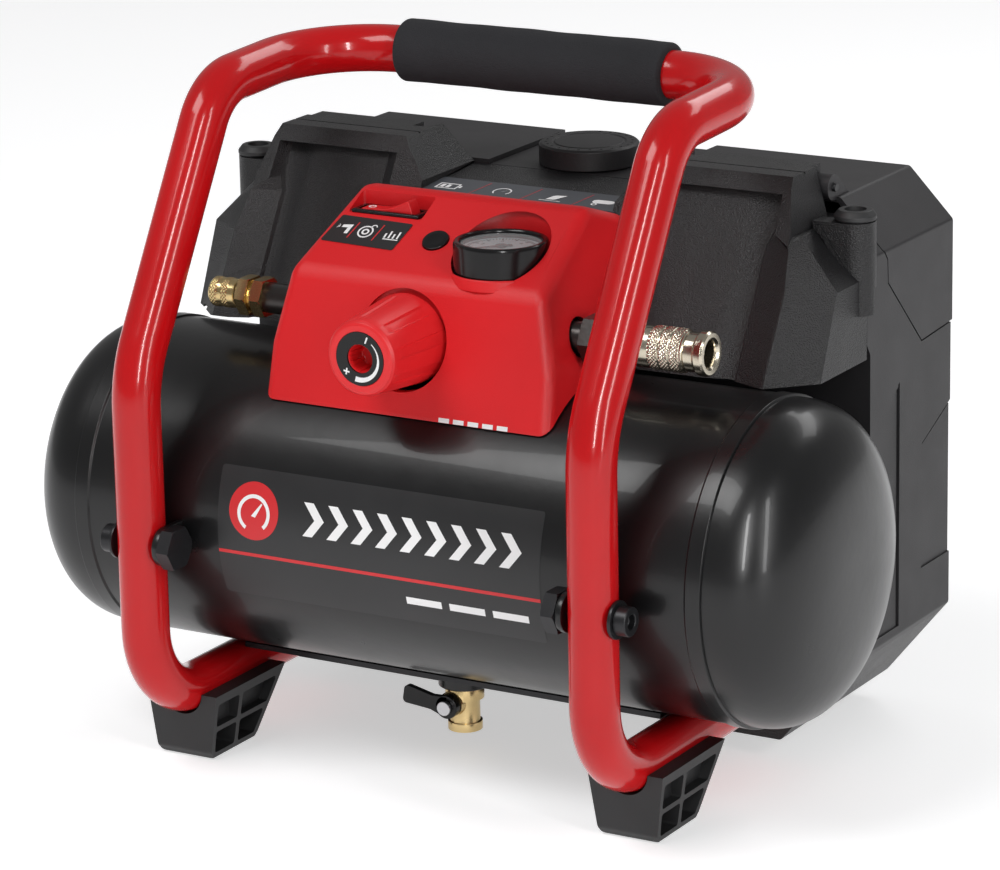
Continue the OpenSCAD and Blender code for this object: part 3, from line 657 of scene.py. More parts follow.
def rear_shell():
    """The rear shell, with its flank panels, its louvres and the openings for the lids."""
    outline = [(HOUSE_FRONT, 45.8), (HOUSE_REAR, 45.8), (HOUSE_REAR, DECK_TOP), (62.5, DECK_TOP), (62.5, 249.5),
               (44.5, 249.5), (44.5, 195), (HOUSE_FRONT, 190)]
    body = meet(house_block(0, SPLIT_Y, HOUSE_REAR), prism(outline, "X", -170, 170))
    hollow = meet(house_block(WALL, SPLIT_Y, HOUSE_REAR), prism(inset(outline, WALL), "X", -170, 170))
    hollow = cut(hollow, box((37.4, 40, 206), (40, 140, 260)), box((-40, 40, 206), (-37.4, 140, 260)))
    tools = [hollow, box((-158, HOUSE_FRONT + WALL, 40), (158, HOUSE_REAR - WALL, 56)),
             rod("Z", (0, FILTER_Y, 240), 18, 20), rod("Y", (36, 40, 150), 4.6, 20)]
    panels = [(54, 54), (77, 54), (77, 168), (54, 156)], [(104, 75), (136, 75), (136, 148), (104, 134)]
    grooves = ([(77, 54), (78.6, 54), (78.6, 170), (77, 169)], [(102.4, 75), (104, 75), (104, 134), (102.4, 134)],
               [(104, 134), (136, 148), (136, 150), (102.4, 135)])
    lowest, pitch, count = 78, 9, 8
    for s in (-1, 1):
        for z in range(lowest, lowest + pitch * count, pitch):
            louvre = [(HOUSE_REAR - 1.5, z), (HOUSE_REAR + 1, z), (HOUSE_REAR + 1, z + 7)]
            tools.append(prism(louvre, "X", *span(s, 24, 96)))
        tools.append(prism(fillet(inset(LID, -0.7), 1, 2), "X", *span(s, 40.6, 170)))
        tools.append(rod("Z", (s * POST_X, POST_Y, 221.5), POST_R + 0.3, 38))
        tools += [prism(panel, "X", *span(s, 162.2, 166)) for panel in panels]
        tools += [prism(groove, "X", *span(s, 160.8, 166)) for groove in grooves]
    body = cut(body, *tools)
    show(bevel(body, 0.6, 2), ROOT, "housing_plastic", "housing_rear_shell", mat=flank_plastic)


rear_shell()


def face_y(z):
    """The front face of the shell leans back from its foot."""
    return -20.2 + (z - 188.6) * 45 / 78.4


def loft(rings, name="loft"):
    """A closed solid through rings with the same number of points."""
    bm = bmesh.new()
    made = [[bm.verts.new(p) for p in ring] for ring in rings]
    for one, two in zip(made, made[1:]):
        for i in range(len(one)):
            k = (i + 1) % len(one)
            bm.faces.new((one[i], one[k], two[k], two[i]))
    bm.faces.new(made[0])
    bm.faces.new(made[-1])
    return make(name, bm)


def shoulder(t):
    """The shoulders of the front shell, or with t the space inside a wall that thick."""
    rings = []
    for z, edge, side in ((186, -2.7, 163), (226 - t / 2, 14.5, 163), (248 - t, 21, 142)):
        half = [(min(144, side - 3) - t, face_y(z) + t), (side - t, edge + t), (side - t, 45.3)]
        rings.append([(-x, y, z) for x, y in reversed(half)] + [(x, y, z) for x, y in half])
    return loft(rings)


def hood():
    """The hood in front of a battery lid, for the right side."""
    side = [(-20.2, 188.6), (face_y(267), 267), (29.8, 272), (61, 272), (61, 250), (44, 250), (44, 188.6)]
    rings = []
    for y, t in ((-21, 0), (61, 1)):
        low, top = 52.3 - 4 * t, 254 + 2 * t
        front = [(low, 188), (140, 188), (140, 250), (134, 272), (68 - 3 * t, 272), (low, top)]
        rings.append([(x, y, z) for x, z in front])
    return meet(prism(side, "X", 40, 150), loft(rings))


def recess(t=0.0):
    """The space in front of the hood's set back face, or with t the space that its wall takes."""
    rings = []
    for z, wall, foot_x in ((184, 127, 143), (243, 127, 143.5), (249, 129.5, 133), (265.2 + t, 130, 132.2)):
        y = face_y(z) + t
        wall += t
        foot_x += t
        rings.append([(66 - t, y - 16, z), (66 - t, y - 1, z), (74, y + 5, z), (112, y + 5.5, z), (118, y + 7.2, z),
                      (122.5, y + 8.4, z), (wall - 0.8, y + 8, z), (wall + 0.3, y + 6, z), (foot_x - 0.5, y, z),
                      (foot_x + 3, y - 16, z)])
    return loft(rings)


def front_shell():
    """The front shell: its shoulders, deck, two hoods and corner posts, hollowed and drilled."""
    body = meet(shoulder(0), box((-170, -30, 188.6), (170, SPLIT_Y, 250)))
    deck = [(-20.2, 188.6), (face_y(250.4), 250.4), (61.8, DECK_TOP), (61.8, 250), (44, 250), (44, 188.6)]
    body = join(body, prism(deck, "X", -60, 60))
    right = hood()
    body = join(body, right, flip_x(right, "hood_left"))
    column = [(141, 252), (157.5, 252), (157.5, 212), (151, 219), (141, 243)]
    strut = [(142.5, 250.5), (145, 250.5), (160.5, 227), (159, 225.5)]
    for s in (-1, 1):
        post = prism([(s * x, z) for x, z in column], "Y", 34.6, 44.1)
        low, high = span(s, 145, 170)
        toe = meet(rod("Z", (s * POST_X, POST_Y, 210), POST_R, 14), box((low, 30, 205), (high, 44.1, 230)))
        body = join(body, post, toe, rod("Z", (s * POST_X, POST_Y, 222), POST_R, 30))
        body = join(body, prism([(s * x, z) for x, z in strut], "Y", 33.4, 35.5))
    right = recess()
    body = cut(body, flip_x(right, "recess_left"), right)
    body = cut(body, tank_bore(TANK_R + 1.2))
    hollow = meet(shoulder(WALL), box((-170, -30, 150), (170, 46.3, 247.4)))
    wall = recess(WALL)
    tools = [cut(hollow, flip_x(wall, "wall"), wall)]
    under_deck = [(-20.2, 188.6), (face_y(250.4), 250.4), (48, 253.4), (48, 188.6)]
    tools.append(prism(inset(under_deck, WALL), "X", -58, 58))
    tools += [box((-158, -10, 180), (158, 46.3, 190)), box((-126, 42, 200), (126, 46.3, 247))]
    for s in (-1, 1):
        tools.append(rod("Z", (s * POST_X, POST_Y, 195), 2.6, 60))
        for slot in ((131.6, 150), (68.2, 75.4)):
            low, high = span(s, *slot)
            tools.append(box((low, 51.5, 249), (high, 70, 280)))
        tools.append(rod("X", (span(s, 61.6, 141)[0], *HINGE), 2, 79.4))
    for s in (-1, 1):
        low, high = span(s, 60, 137)
        tools.append(box((low, 40, 271.2), (high, 41.2, 273)))
    body = cut(body, *tools)
    show(bevel(body, 1.8, 4, 20), ROOT, "housing_plastic", "housing_front_shell", mat=housing_plastic)


front_shell()


def lid():
    """A battery lid with its two hinge knuckles, for the right side."""
    body = meet(prism(fillet(HOUSE, 2.5, 3), "Y", 62, 134.4), prism(LID, "X", LID_X0, 170))
    inside = prism([(60, 180), (131.8, 180), (131.8, 256.9), (60, 256.9)], "X", LID_X0 + WALL, 170)
    body = cut(body, meet(prism(inset(HOUSE, WALL), "Y", 60, 131.8), inside))
    for low, high in ((132.2, 139.4), (68.6, 75)):
        ear = prism([(56, 256.8), (66, 254.5), (74, 256.9), (62, 267)], "X", low, high)
        body = join(body, ear, rod("X", (low, *HINGE), 6, high - low, 32))
    body = cut(body, rod("X", (40, *HINGE), 2.05, 105, 32), box((40, 50, 240), (68.4, 62.2, 280)),
               box((75.2, 50, 240), (131.6, 62.2, 280)))
    return paint(bevel(body, 0.7, 2), lid_plastic)


mirror_pair(lid, "battery_cover_left", "battery_cover_right", ("lid_left", "lid_right"), "lid_plastic",
            "battery_lid_left", "battery_lid_right")


def bushes():
    """The rubber bush on top of each corner post."""
    rings = []
    profile = round_profile([(0, 5), (0, 8.6), (1, 9.5), (2.6, 9.5), (5, 7.6), (5, 5)], 0.7)
    for s in (-1, 1):
        rings.append(lathe("bush", profile + [profile[0]], "Z", (s * POST_X, POST_Y, 252.05), foot_rubber, 64))
    show(merge(rings, "boss_bushes"), ROOT, "foot_rubber", "corner_bushes")


bushes()


def intake_cap():
    """The filter's cap, with a ring of small holes in its face."""
    profile = [(0.4, 20), (0.4, 23.1), (0.8, 23.5), (9.4, 23.5), (10.4, 22.4), (10.4, 17.4), (9.9, 17.1), (9.9, 16.3),
               (10.4, 16), (10.4, 0), (7.6, 0), (7.6, 20), (0.4, 20)]
    count = 24
    cap = lathe("intake_cap", profile[::-1], "Z", (0, FILTER_Y, DECK_TOP), None, 144)
    marks = []
    for k in range(count):
        a = 2 * pi * k / count
        marks.append(rod("Z", (20.2 * cos(a), FILTER_Y + 20.2 * sin(a), DECK_TOP + 10), 0.7, 2, 12))
    cap = cut(cap, merge(marks, "marks"))
    show(bevel(cap, 0.4, 2), "cap", "housing_plastic", "filter_cap", mat=flank_plastic)


intake_cap()

# ---------------------------------------------------------------- control panel

PANEL = [(-86.4, 170.6), (-30, 170.6), (-20.6, 189.4), (14.2, 250.2), (-21, 262), (-73.2, 233)]
PANEL_FRONT = [(-73.6, 170), (73.6, 170), (72.6, 199), (64.5, 236), (58, 263), (-58, 263), (-64.5, 236), (-72.6, 199)]
LINE_Y, LINE_Z = -50.2, 210.5
KNOB_X, KNOB_Z, KNOB_FACE = -3.5, 207.3, -114.2
GAUGE_X, GAUGE_TOP = 31.0, 250.5
WELL_R, WELL_FLOOR = 24.8, 237.2
SWITCH_Z = 251.6
DECK_FOOT_Y, DECK_FOOT_Z = -73.2, 233
DECK_ANGLE = atan2(29, 51.2)
RESET_AT = (-2.7, 26.7)


def at_gauge(z):
    return GAUGE_X, LINE_Y, z


def on_line(x):
    """A place on the air line through the manifold."""
    return x, LINE_Y, LINE_Z


def deck_frame():
    """From across and up the sloping deck to the part's axes."""
    return Matrix.Translation((0, DECK_FOOT_Y, DECK_FOOT_Z)) @ Matrix.Rotation(DECK_ANGLE, 4, "X")


def on_deck(obj):
    """Moves an object made in the deck's frame to its place."""
    shift = Matrix.Scale(MM, 4) @ deck_frame() @ Matrix.Scale(1 / MM, 4)
    obj.data.transform(shift)
    return obj


def panel_solid(t, side):
    return meet(prism(inset(side, t), "X", -80, 80), prism(inset(PANEL_FRONT, t), "Y", -100, 20))


def gauge_well():
    """The space of the gauge's well, which opens onto the sloping deck through a rounded edge."""
    count, steps = 96, 6
    foot, rings = [], [[] for _ in range(steps + 2)]
    for i in range(count):
        a = 2 * pi * i / count
        rear = max(0, sin(a))
        wall_r = 23.3 + 1.5 * min(1, max(0, (sin(a) + 0.75) / 0.6)) - 1.0 * rear ** 2

        def put(ring, r, z):
            ring.append((GAUGE_X + r * cos(a), LINE_Y + r * sin(a), z))

        def deck(r):
            return 233.02 + (LINE_Y + r * sin(a) + 73.2) * tan(DECK_ANGLE)

        wall = max(0, deck(wall_r) - WELL_FLOOR)
        drop, spread = min(3 + 3.5 * rear, wall), min(3, wall)
        put(foot, wall_r, WELL_FLOOR)
        for k in range(steps + 1):
            t = k / steps
            z = (deck(wall_r) - drop) * (1 - t) ** 2 + 2 * deck(wall_r) * t * (1 - t) + deck(wall_r + spread) * t * t
            put(rings[k], wall_r + spread * t * t, max(z, WELL_FLOOR + 0.002 * (k + 1)))
        put(rings[-1], wall_r + spread, 290)
    return loft([foot] + rings, "well")


def panel():
    """The red control panel, with the openings for what it carries."""
    body = bevel(panel_solid(0, PANEL), 5.5, 6, 8)
    inner = panel_solid(2.4, PANEL[:4] + [(-21, 262.4)] + PANEL[5:])
    for blocker in (rod("Y", (KNOB_X, -90, KNOB_Z), 24.5, 20), rod("Z", at_gauge(230), WELL_R + 2.2, 40, 64),
                    box((-57, -41.4, 247), (-14.4, -24, 264))):
        inner = cut(inner, blocker)
    body = cut(body, inner, box((-71, -79, 160), (71, -19, 190)))
    rim = lathe("rim", [(0, 0), (0, 22.5), (23.6, 22.5), (28, 22.5), (28, 0)], "Y", (KNOB_X, -100, KNOB_Z))
    ring = [(0, 0), (0, 23.8), (3.4, 23.5), (4.5, 23.3), (5, 22.8), (5, 0)]
    collar = lathe("collar", ring, "Z", at_gauge(232))
    hole = rod("Z", at_gauge(225), 22.2, 60, 96)
    body = join(body, collar)
    body = cut(body, rim, rod("Y", (KNOB_X, -80, KNOB_Z), 16, 20), gauge_well(), hole)
    body = cut(body, bevel(box((-55, -40, SWITCH_Z), (-16.5, -25.5, 275)), 1.5, 3),
               box((-52, -38.5, 240), (-19.4, -28, 260)))
    body = cut(body, on_deck(rod("Z", (*RESET_AT, -20), 6.4, 40)))
    body = cut(body, rod("X", on_line(-90), 9, 180), tank_bore(BEAD_R + 0.1))
    show(bevel(body, 0.5, 3, 40), ROOT, "red_plastic", "control_panel", mat=red_plastic)


panel()


def knob():
    """The regulator's fluted grip, with a printed scale on the ring in its face."""
    place = (KNOB_X, KNOB_FACE, KNOB_Z)
    head = [(12, 0), (12, 6.4), (1.1, 6.4), (1.1, 12.1), (0, 12.1), (0, 14.8), (0.5, 16), (1.8, 17), (4, 17.5)]
    along = [(4 + k * 2, 17.5 + (k * 2) / 32 * 2.9) for k in range(1, 16)]
    tail = [(36, 20.4), (39.2, 20.6), (40, 20), (40, 16.2), (24.2, 16.2), (24.2, 4.05), (18.2, 4.05), (18.2, 0)]
    fade = lambda s: max(0, min(1, (s - 3.5) / 5, (37.5 - s) / 3))
    flute = lambda s, a: -0.8 * fade(s) * max(0, min(1, 4 * cos(9 * a) - 0.8)) if 2 < s < 39 else 0
    grip = lathe("regulator_grip", round_profile(head, 0.5) + along + tail, "Y", place, knob_plastic, 288, flute)
    show(grip, "knob", "red_plastic", "regulator_knob")
    band = [(0.1, 6.45), (0.1, 12), (1.1, 12), (1.1, 6.45), (0.1, 6.45)]
    parts = [lathe("regulator_scale", band, "Y", place, black_plastic, 96)]
    start, end, steps = radians(50), radians(-105), 24
    outer, inner = [], []
    for k in range(steps + 1):
        t = k / steps
        a = start + (end - start) * t
        w = 0.15 + 1.05 * t
        outer.append(((9.4 + w) * cos(a), (9.4 + w) * sin(a)))
        inner.append(((9.4 - w) * cos(a), (9.4 - w) * sin(a)))
    shapes = [outer + inner[::-1]]
    for degrees, tilt, arms in ((-138, -10, 4), (68, 68, 2)):
        centre = ray(radians(degrees))[0] * 9.3
        outline = []
        for arm in range(arms):
            d, n = ray(radians(tilt) + 2 * pi * arm / arms)
            outline += [centre + d * 1.5 - n * 0.36, centre + d * 1.5 + n * 0.36]
            if arms == 4:
                outline.append(centre + (d + n) * 0.36)
        shapes.append([tuple(v) for v in outline])
    for shape in shapes:
        mark = [(KNOB_X + x, KNOB_Z + z) for x, z in shape]
        parts.append(paint(prism(mark, "Y", KNOB_FACE + 0.02, KNOB_FACE + 0.3), ink_white))
    show(merge(parts, "regulator_scale"), "knob", "black_plastic", "knob_ring")


knob()


def gauge():
    """The pressure gauge: its case, its dial of 51 ticks and plain numbers, its hand and its window."""
    foot_z, face_z, print_z = 222.0, 246.75, 246.9
    top = GAUGE_TOP - foot_z
    profile = [(0, 0), (0, 19.8), (14, 19.8), (14.4, 21.25), (top - 1.8, 21.25), (top - 0.5, 20.9), (top, 20.2),
               (top, 19), (top - 0.5, 18.4), (top - 1.2, 18.1), (18, 18.1), (18, 0)]
    case = lathe("gauge_body", profile, "Z", at_gauge(foot_z), black_plastic, 128)
    stem = paint(rod("Z", at_gauge(LINE_Z + 6.9), 5, 6), brass)
    show(merge([case, stem], "gauge_body"), ROOT, "black_plastic", "gauge_case")
    plate = [(0, 1.3), (0, 18), (0.8, 18), (0.8, 1.3), (0, 1.3)]
    parts = [lathe("gauge_scale", plate, "Z", at_gauge(246), dial_face, 96)]

    def mark(points, mat):
        shape = [(GAUGE_X + x, LINE_Y + y) for x, y in points]
        parts.append(paint(prism(shape, "Z", face_z, print_z), mat))

    sweep_start, sweep_angle, ticks = 225, 270, 50
    for k in range(ticks + 1):
        d, n = ray(radians(sweep_start - sweep_angle * k / ticks))
        near, w = (12.8, 0.32) if k % 5 == 0 else (14.4, 0.16)
        inner, outer = d * near, d * 16.2
        mark([inner - n * w, outer - n * w, outer + n * w, inner + n * w], black_plastic)
    arc = [radians(-45 + 54 * k / 12) for k in range(13)]
    outer = [(17.4 * cos(a), 17.4 * sin(a)) for a in arc]
    mark(outer + [(16.7 * cos(a), 16.7 * sin(a)) for a in reversed(arc)], ink_red)
    for k in range(0, 11, 2):
        a = radians(sweep_start - 27 * k)
        curve = bpy.data.curves.new("digits", "FONT")
        curve.body = str(k)
        curve.size = 3.4
        curve.align_x, curve.align_y = "CENTER", "CENTER"
        temp = add("digits", curve)
        mesh = bpy.data.meshes.new_from_object(temp.evaluated_get(bpy.context.evaluated_depsgraph_get()))
        bpy.data.objects.remove(temp)
        mesh.transform(Matrix.Translation((GAUGE_X + 10.6 * cos(a), LINE_Y + 10.6 * sin(a), print_z)))
        mesh.transform(Matrix.Scale(MM, 4))
        parts.append(paint(add("digits", mesh), black_plastic))
    show(merge(parts, "gauge_scale"), ROOT, "dial_face", "gauge_dial")
    d, n = ray(radians(sweep_start))
    outline = (d * -5 - n * 1.1, d * 14.5 - n * 0.3, d * 14.5 + n * 0.3, d * -5 + n * 1.1)
    hand = prism([(GAUGE_X + p.x, LINE_Y + p.y) for p in outline], "Z", 247.2, 247.7)
    profile = round_profile([(-4, 0), (-4, 1.2), (0, 1.2), (0, 2.6), (1, 2.6), (1, 0)], 0.3)
    hub = lathe("hub", profile, "Z", at_gauge(247), None, 32)
    show(merge([hand, hub], "gauge_hand"), "needle", "black_plastic", "gauge_needle", mat=black_plastic)
    profile = round_profile([(0, 0), (0, 18.05), (0.8, 18.05), (1, 17), (1, 0)], 0.2)
    lens = lathe("gauge_window", profile, "Z", at_gauge(248.1), lens_glass, 96)
    show(lens, ROOT, "lens_glass", "gauge_lens")


gauge()


def switch():
    """The rocker switch and its bezel."""
    z = SWITCH_Z
    bezel = box((-53.4, -39.6, z), (-18, -26.6, z + 2))
    bezel = join(bevel(bezel, 1.4, 3), box((-51.6, -38.2, 236), (-19.8, -28.3, z + 0.5)))
    bezel = cut(bezel, bevel(box((-51, -37.4, 238), (-20.4, -29.4, z + 6)), 0.6, 2))
    show(bevel(bezel, 0.35, 2), ROOT, "black_plastic", "switch_bezel", mat=black_plastic)
    outline = [(-49.6, z + 0.2), (-47, z - 4), (-35.5, z - 8), (-24, z - 5), (-22.4, z + 1), (-23.2, z + 4),
               (-24.6, z + 7.6), (-35.5, z + 2.6), (-49.6, z + 2.2)]
    outline = fillet(outline, [0.5, 3, 3, 3, 2, 2, 1, 12, 1], 5)
    key = paint(bevel(prism(outline, "Y", -37.1, -29.7), 0.7, 3), red_plastic)
    profile = [(0, 1.3), (0, 1.9), (0.3, 1.9), (0.3, 1.3), (0, 1.3)]
    ring = lathe("ring", profile, "Z", (-45.5, -33.4, z + 2.2), ink_white, 32)
    show(merge([key, ring], "rocker_key"), "rocker", "red_plastic", "rocker_switch")


switch()


def reset():
    """The overload reset button on the sloping deck."""
    profile = round_profile([(-7, 0), (-7, 3), (-1.4, 3), (-1.4, 6.1), (0.8, 6.1), (1, 4), (0.6, 0)], 0.35)
    key = lathe("reset_key", profile, "Z", (*RESET_AT, 0), black_plastic, 48)
    show(on_deck(key), "reset", "black_plastic", "reset_button")


reset()

# ---------------------------------------------------------------- air line


def knurl(s, a, teeth, pitch, depth):
    """The depth of a diamond knurl at a distance along the axis and an angle round it."""
    one = abs(((a / (2 * pi) * teeth + s / pitch) % 1) - 0.5)
    two = abs(((a / (2 * pi) * teeth - s / pitch) % 1) - 0.5)
    return -depth * 2 * max(one, two)


def coupler():
    """The outlet coupler's socket and its sliding sleeve with three knurled bands."""
    start, end = 75, 60.0
    nut = paint(hexagon(on_line(start), 20.8, 8), gunmetal)
    profile = [(1, 0), (1, 8), (end - 9.8, 8), (end - 9.8, 8.8), (end - 5.4, 8.8), (end - 4, 10), (end - 1, 10),
               (end, 9.2), (end, 7.2), (end - 1, 6.1), (end - 2, 5.8), (end - 26, 5.8), (end - 26, 0)]
    tube = lathe("tube", round_profile(profile, 0.3), "X", on_line(start), nickel, 96)
    show(merge([nut, tube], "coupler_socket"), ROOT, "nickel", "coupler_body")
    profile = [(0, 8.05), (0, 8.9), (0.6, 9.4), (16.2, 9.4)]
    for k in range(3):
        low = 17 + 5.4 * k
        profile += [(low, 9.4)] + [(low + 0.2 + j * 0.3, 9.9) for j in range(15)]
        profile += [(low + 4.6, 9.4), (low + 4.8, 9.1), (low + 5.2, 9.1)]
    profile = profile[:-1] + [(33.2, 9.0), (33.6, 8.5), (33.6, 8.05), (0, 8.05)]
    band = lambda s, a: knurl(s, a, 34, 1.7, 0.5) if 17 < s < 32.6 and (s - 17) % 5.4 < 4.55 else 0
    sleeve = lathe("coupler_ring", profile, "X", on_line(91), nickel, 280, band)
    show(sleeve, "sleeve", "nickel", "coupler_sleeve")


coupler()


def relief_valve():
    """The safety valve's brass body and its knurled pull cap."""
    profile = [(0, 0), (0, 3), (12.2, 3), (12.2, 6.4), (20, 6.4), (20.4, 7), (22, 7), (22.4, 6.4), (26.6, 6.4),
               (26.6, 0)]
    parts = [paint(hexagon(on_line(-105), 16.8, 5.5), brass),
             paint(hexagon(on_line(-97), 16.8, 5.6), brass),
             lathe("core", round_profile(profile, 0.3), "X", on_line(-119), brass, 64)]
    show(merge(parts, "relief_valve"), ROOT, "brass", "safety_valve_body")
    profile = [(1.6, 3.05), (1.6, 0), (1.4, 0), (0.4, 3), (0, 4), (0, 6.2), (0.7, 6.8)]
    profile += [(1 + 0.3 * k, 7.1) for k in range(11)] + [(4.4, 6.7), (6.8, 6.7)]
    profile += [(7 + 0.3 * k, 7.1) for k in range(11)]
    profile += [(10.4, 6.8), (13.4, 6.8), (13.8, 6.4), (13.8, 3.05), (1.6, 3.05)]
    band = lambda s, a: knurl(s, a, 30, 1.5, 0.3) if 0.9 < s < 4.1 or 6.9 < s < 10.1 else 0
    cap = lathe("relief_pull_cap", profile, "X", on_line(-121), brass, 240, band)
    show(cap, "relief_cap", "brass", "safety_valve_cap")


relief_valve()


def drain_tap():
    """The drain valve's lever and its hub."""
    x, y, z = -2, -49, 28.5
    profile = round_profile([(0, 2.05), (0, 5.6), (4, 5.6), (4, 2.05)], 0.4)
    hub = lathe("hub", profile, "Y", (x, y - 3, z), None, 48)
    outline = [(-22.7, -4.4), (-8, -3.4), (0, -5), (0, 5), (-8, 3.4), (-22.7, 4.4)]
    arm = prism(fillet(outline, [2, 3, 0, 0, 3, 2]), "Y", 0, 3)
    arm.data.transform(Matrix.Translation(mm(x, y - 3, z)) @ Matrix.Rotation(radians(9), 4, "Y"))
    arm = bevel(cut(arm, rod("Y", (x, y - 5, z), 3, 10, 32)), 0.7, 3)
    show(merge([hub, arm], "drain_handle"), "tap_lever", "black_plastic", "drain_lever", mat=black_plastic)


drain_tap()

# ---------------------------------------------------------------- printed marks


def decal(name, shapes, place, slot, levels=()):
    """Flat shapes as (outline, material, lift), placed by place(u, v, lift) after a cut at each level of v."""
    parts = []
    for outline, mat, lift in shapes:
        bm = bmesh.new()
        for loop in outline if isinstance(outline[0], list) else [outline]:
            bm.faces.new([bm.verts.new((u, v, 0)) for u, v in loop])
        bmesh.ops.triangulate(bm, faces=bm.faces[:])
        for level in levels:
            whole = bm.verts[:] + bm.edges[:] + bm.faces[:]
            bmesh.ops.bisect_plane(bm, geom=whole, plane_co=(0, level, 0), plane_no=(0, 1, 0))
        for vert in bm.verts:
            vert.co = place(vert.co.x, vert.co.y, lift)
        parts.append(make("mark", bm, mat))
    show(merge(parts, name), ROOT, slot)


def bar(u, v, w, h, lean=0.0):
    return [(u, v), (u + w, v), (u + w + lean, v + h), (u + lean, v + h)]


def ring_shape(u, v, outer, inner, count=32, first=0, last=None):
    """A flat ring, or part of one, as a list of four-sided outlines."""
    quads = []
    for k in range(first, count if last is None else last):
        a, b = (2 * pi * (i + 0.5) / count for i in (k, k + 1))
        quads.append([(u + r * cos(t), v + r * sin(t)) for r, t in ((outer, a), (outer, b), (inner, b), (inner, a))])
    return quads


def on_tank(u, v, lift):
    r = TANK_R + 0.1 + lift
    return Vector((u, TANK_Y - sqrt(max(0, r * r - (v - TANK_Z) ** 2)), v))


def tank_label():
    """A plain label: a gauge picture on a disc, a row of equal chevrons, a straight rule and three bars."""
    low, high = 0.06, 0.12
    shapes = [(fillet(bar(-83, 88, 166, 59.5), 1.5), label_black, 0.0),
              (ring_shape(-64, 129, 13, 0.01, 64), ink_red, low),
              (ring_shape(-64, 128, 8.6, 6.9, 40, -6, 26), ink_white, high),
              ([(-65.3, 126.9), (-63.1, 126.4), (-59.6, 132.6), (-60.2, 133)], ink_white, high)]
    for k in range(9):
        u = -38 + 12.6 * k
        shapes.append(([bar(u, 121.5, 5, 7.5, 6), bar(u + 6, 129, 5, 7.5, -6)], ink_white, low))
    shapes.append((bar(-83, 108, 166, 1.6), ink_red, low))
    shapes += [(bar(14 + 22 * k, 97, 18, 3.4), ink_white, low) for k in range(3)]
    levels = [TANK_Z + TANK_R * sin(radians(2 * k)) for k in range(-14, 16)]
    decal("tank_label", shapes, on_tank, "black_metal", levels)


tank_label()


def panel_dashes():
    """Five equal dashes at the foot of the panel's leaning face."""

    def on_face(u, v, lift):
        y = -86.2 + (v - 171.5) * 13 / 61.5
        return Vector((u, y - 0.08 - lift, v))

    shapes = [(bar(18.2 + 7.4 * k, 174.4, 5.4, 2), ink_white, 0.0) for k in range(5)]
    decal("panel_dashes", shapes, on_face, "housing_plastic")


panel_dashes()


def switch_label():
    """Plain pictures beside the switch: an air gun, a tyre and bars, between red rules."""
    deck, lift = deck_frame(), 0.05

    def on_slope(u, v, lift):
        return deck @ Vector((u, v, 0.1 + lift))

    shapes = [(fillet([(-59, 18.8), (-20.6, 17.4), (-18.6, 35.2), (-56, 36.2)], 1), label_black, 0.0)]
    shapes += [(bar(x - 1, 22, 0.6, 10.5, 1.6), ink_red, lift) for x in (-46, -33)]
    tyre = [ring_shape(-39.4, 27, 3.9, 3.1, 28), ring_shape(-39.4, 27, 1.9, 1.0, 20),
            ring_shape(-36.4, 30.4, 1.6, 1.0, 20, 0, 12)]
    gun = [[(-52.6, 28.2), (-47.6, 28.6), (-47.2, 30.6), (-52.4, 30)],
           [(-49.8, 24.6), (-47.9, 24.6), (-47.6, 28.6), (-49.4, 28.4)]]
    whites = tyre + gun
    for k in range(3):
        u, v, tip = -55 + 0.3 * k, 1.1 * k, 0.5 * k
        whites.append([(u, 27.6 + v), (-53.6, 28.4 + tip), (-53.6, 28.7 + tip), (u, 28 + v)])
    whites += [bar(-29 + 2.2 * k, 24.6, 0.9, 3 + 1.6 * (k % 2)) for k in range(4)]
    whites.append(bar(-29, 23.6, 8, 0.6))
    decal("switch_label", shapes + [(shape, ink_white, lift) for shape in whites], on_slope, "housing_plastic")


switch_label()


def strip_icons():
    """Plain pictures along the strip behind the panel: a battery, a gauge arc, a leaf and a tank, between red rules."""

    def on_strip(u, v, lift):
        return Vector((u, v, 251.15 + (v - 14.6) * 2.05 / 21.4 + 0.06 + lift))

    shapes = [(bar(x, 16.5, 0.4, 17, 3), ink_red, 0.0) for x in (-26, 1, 28)]
    outline = [bar(-46, 20.6, 11, 0.8), bar(-46, 27, 11, 0.8), bar(-46, 21.4, 0.8, 5.6), bar(-35.8, 21.4, 0.8, 5.6)]
    battery = [outline, bar(-34.6, 22.8, 1.2, 2.8), bar(-44.2, 22.2, 2, 4), bar(-41.2, 22.2, 2, 4)]
    shapes += [(shape, ink_white, 0.0) for shape in battery + [ring_shape(-12, 24.5, 4.6, 3.9, 40, -5, 25)]]
    shapes.append(([(-12.6, 23.6), (-9.2, 27.4), (-11.4, 24.6)], ink_white, 0.02))
    leaf = [fillet([(12.6, 21), (17, 21.4), (20.6, 28), (14.4, 27)], [0, 2.4, 0, 2.4]), bar(10, 19.4, 11, 0.5)]
    vessel = [fillet(bar(35, 23, 11, 4.6), 2.2), ring_shape(37.6, 21.4, 1.5, 0.8, 16)]
    shapes += [(shape, ink_white, 0.0) for shape in leaf + vessel]
    decal("strip_icons", shapes, on_strip, "strip_grey")


strip_icons()

# ---------------------------------------------------------------- CAD nodes that only need a finish

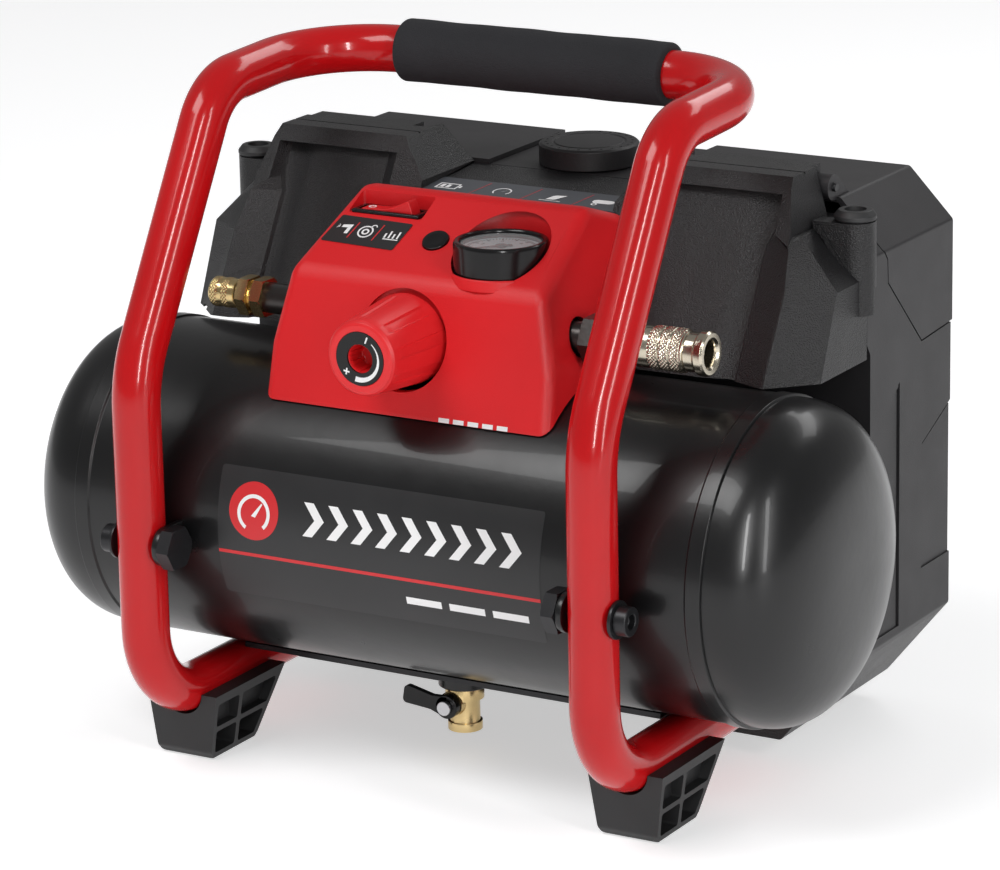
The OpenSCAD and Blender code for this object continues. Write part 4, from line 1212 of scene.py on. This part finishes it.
FINISH = (
    (tank_paint, 0.8, "tank_brackets"), (dark_metal, 0.5, "cross_plate"), (dark_metal, 0.2, "frame_washers"),
    (dark_metal, 0.3, "lid_hinge_pins"), (dark_metal, 0.6, "pump_frame"),
    (steel, 0.3, "foot_screws", "housing_screws", "drain_screw"), (steel, 0.6, "motor_housing"),
    (steel, 0.4, "crankshaft"), (black_plastic, 0.5, "battery_bays", "overload_breaker"),
    (black_plastic, 0.4, "filter_seat"), (black_plastic, 0.2, "cooling_fan"), (black_plastic, 0.8, "pressure_switch"),
    (flank_plastic, 1.0, "battery_pack_left", "battery_pack_right"), (copper, 0.2, "battery_contacts"),
    (copper, 0.0, "delivery_pipe"), (filter_paper, 0.5, "filter_element"), (strip_grey, 0.15, "info_strip"),
    (gunmetal, 0.8, "manifold"), (brass, 0.5, "drain_valve_body"), (alloy, 0.6, "regulator_body", "cylinder_head"),
    (alloy, 0.4, "connecting_rod", "piston"), (alloy, 0.3, "pump_cylinder"),
)
for mat, edge, *names in FINISH:
    for node in names:
        dress(node, mat, edge)

# ---------------------------------------------------------------- stage, light and camera


def studio():
    """A white floor, a white surround and four soft lights."""
    bm = bmesh.new()
    size = 6000
    corners = [bm.verts.new((x, y, 0)) for x, y in ((-size, -size), (size, -size), (size, size), (-size, size))]
    bm.faces.new(corners)
    white = material("floor_white", (0.82, 0.82, 0.83), 0.7, vary=0.0, specular=0.2)
    preset(white.node_tree.nodes["Principled BSDF"], Emission_Color=(1, 1, 1, 1), Emission_Strength=0.52)
    floor = make("studio_floor", bm, white)
    world = bpy.data.worlds.new("studio")
    bpy.context.scene.world = world
    world.use_nodes = True
    preset(world.node_tree.nodes["Background"], Color=(1, 1, 1, 1), Strength=0.27)
    bpy.context.scene.view_settings.view_transform = "Standard"

    def softbox(name, place, aim, size_x, size_y, watts):
        data = bpy.data.lights.new(name, "AREA")
        data.shape = "RECTANGLE"
        data.size, data.size_y, data.energy = size_x, size_y, watts
        lamp = add(name, data)
        lamp.location = place
        lamp.rotation_euler = (Vector(aim) - Vector(place)).to_track_quat("-Z", "Y").to_euler()
        return lamp

    middle = (0, 0, 0.15)
    softbox("key", (-0.6, -1.2, 2.0), middle, 1.2, 0.8, 24)
    softbox("strip_right", (1.9, -0.7, 0.9), middle, 0.2, 1.6, 15)
    softbox("back", (0.4, 1.6, 1.6), middle, 1.6, 0.5, 10)
    softbox("streak", (1.3, -1.9, 1.2), middle, 0.2, 1.6, 34).visible_diffuse = False


studio()


def camera():
    """A long lens from the front right, a little above the object, with a slight roll."""
    yaw, pitch, roll = radians(30.62), radians(15.90), radians(-1.14)
    back = Vector((sin(yaw) * cos(pitch), -cos(yaw) * cos(pitch), sin(pitch)))
    level = Vector((cos(yaw), sin(yaw), 0))
    up = back.cross(level)
    right = cos(roll) * level + sin(roll) * up
    up = -sin(roll) * level + cos(roll) * up
    data = bpy.data.cameras.new("camera")
    data.lens = 164.3
    cam = add("camera", data)
    turned = Matrix((right, up, back)).transposed().to_4x4()
    cam.matrix_world = Matrix.Translation((1.0212, -1.7274, 0.7160)) @ turned
    bpy.context.scene.camera = cam


camera()
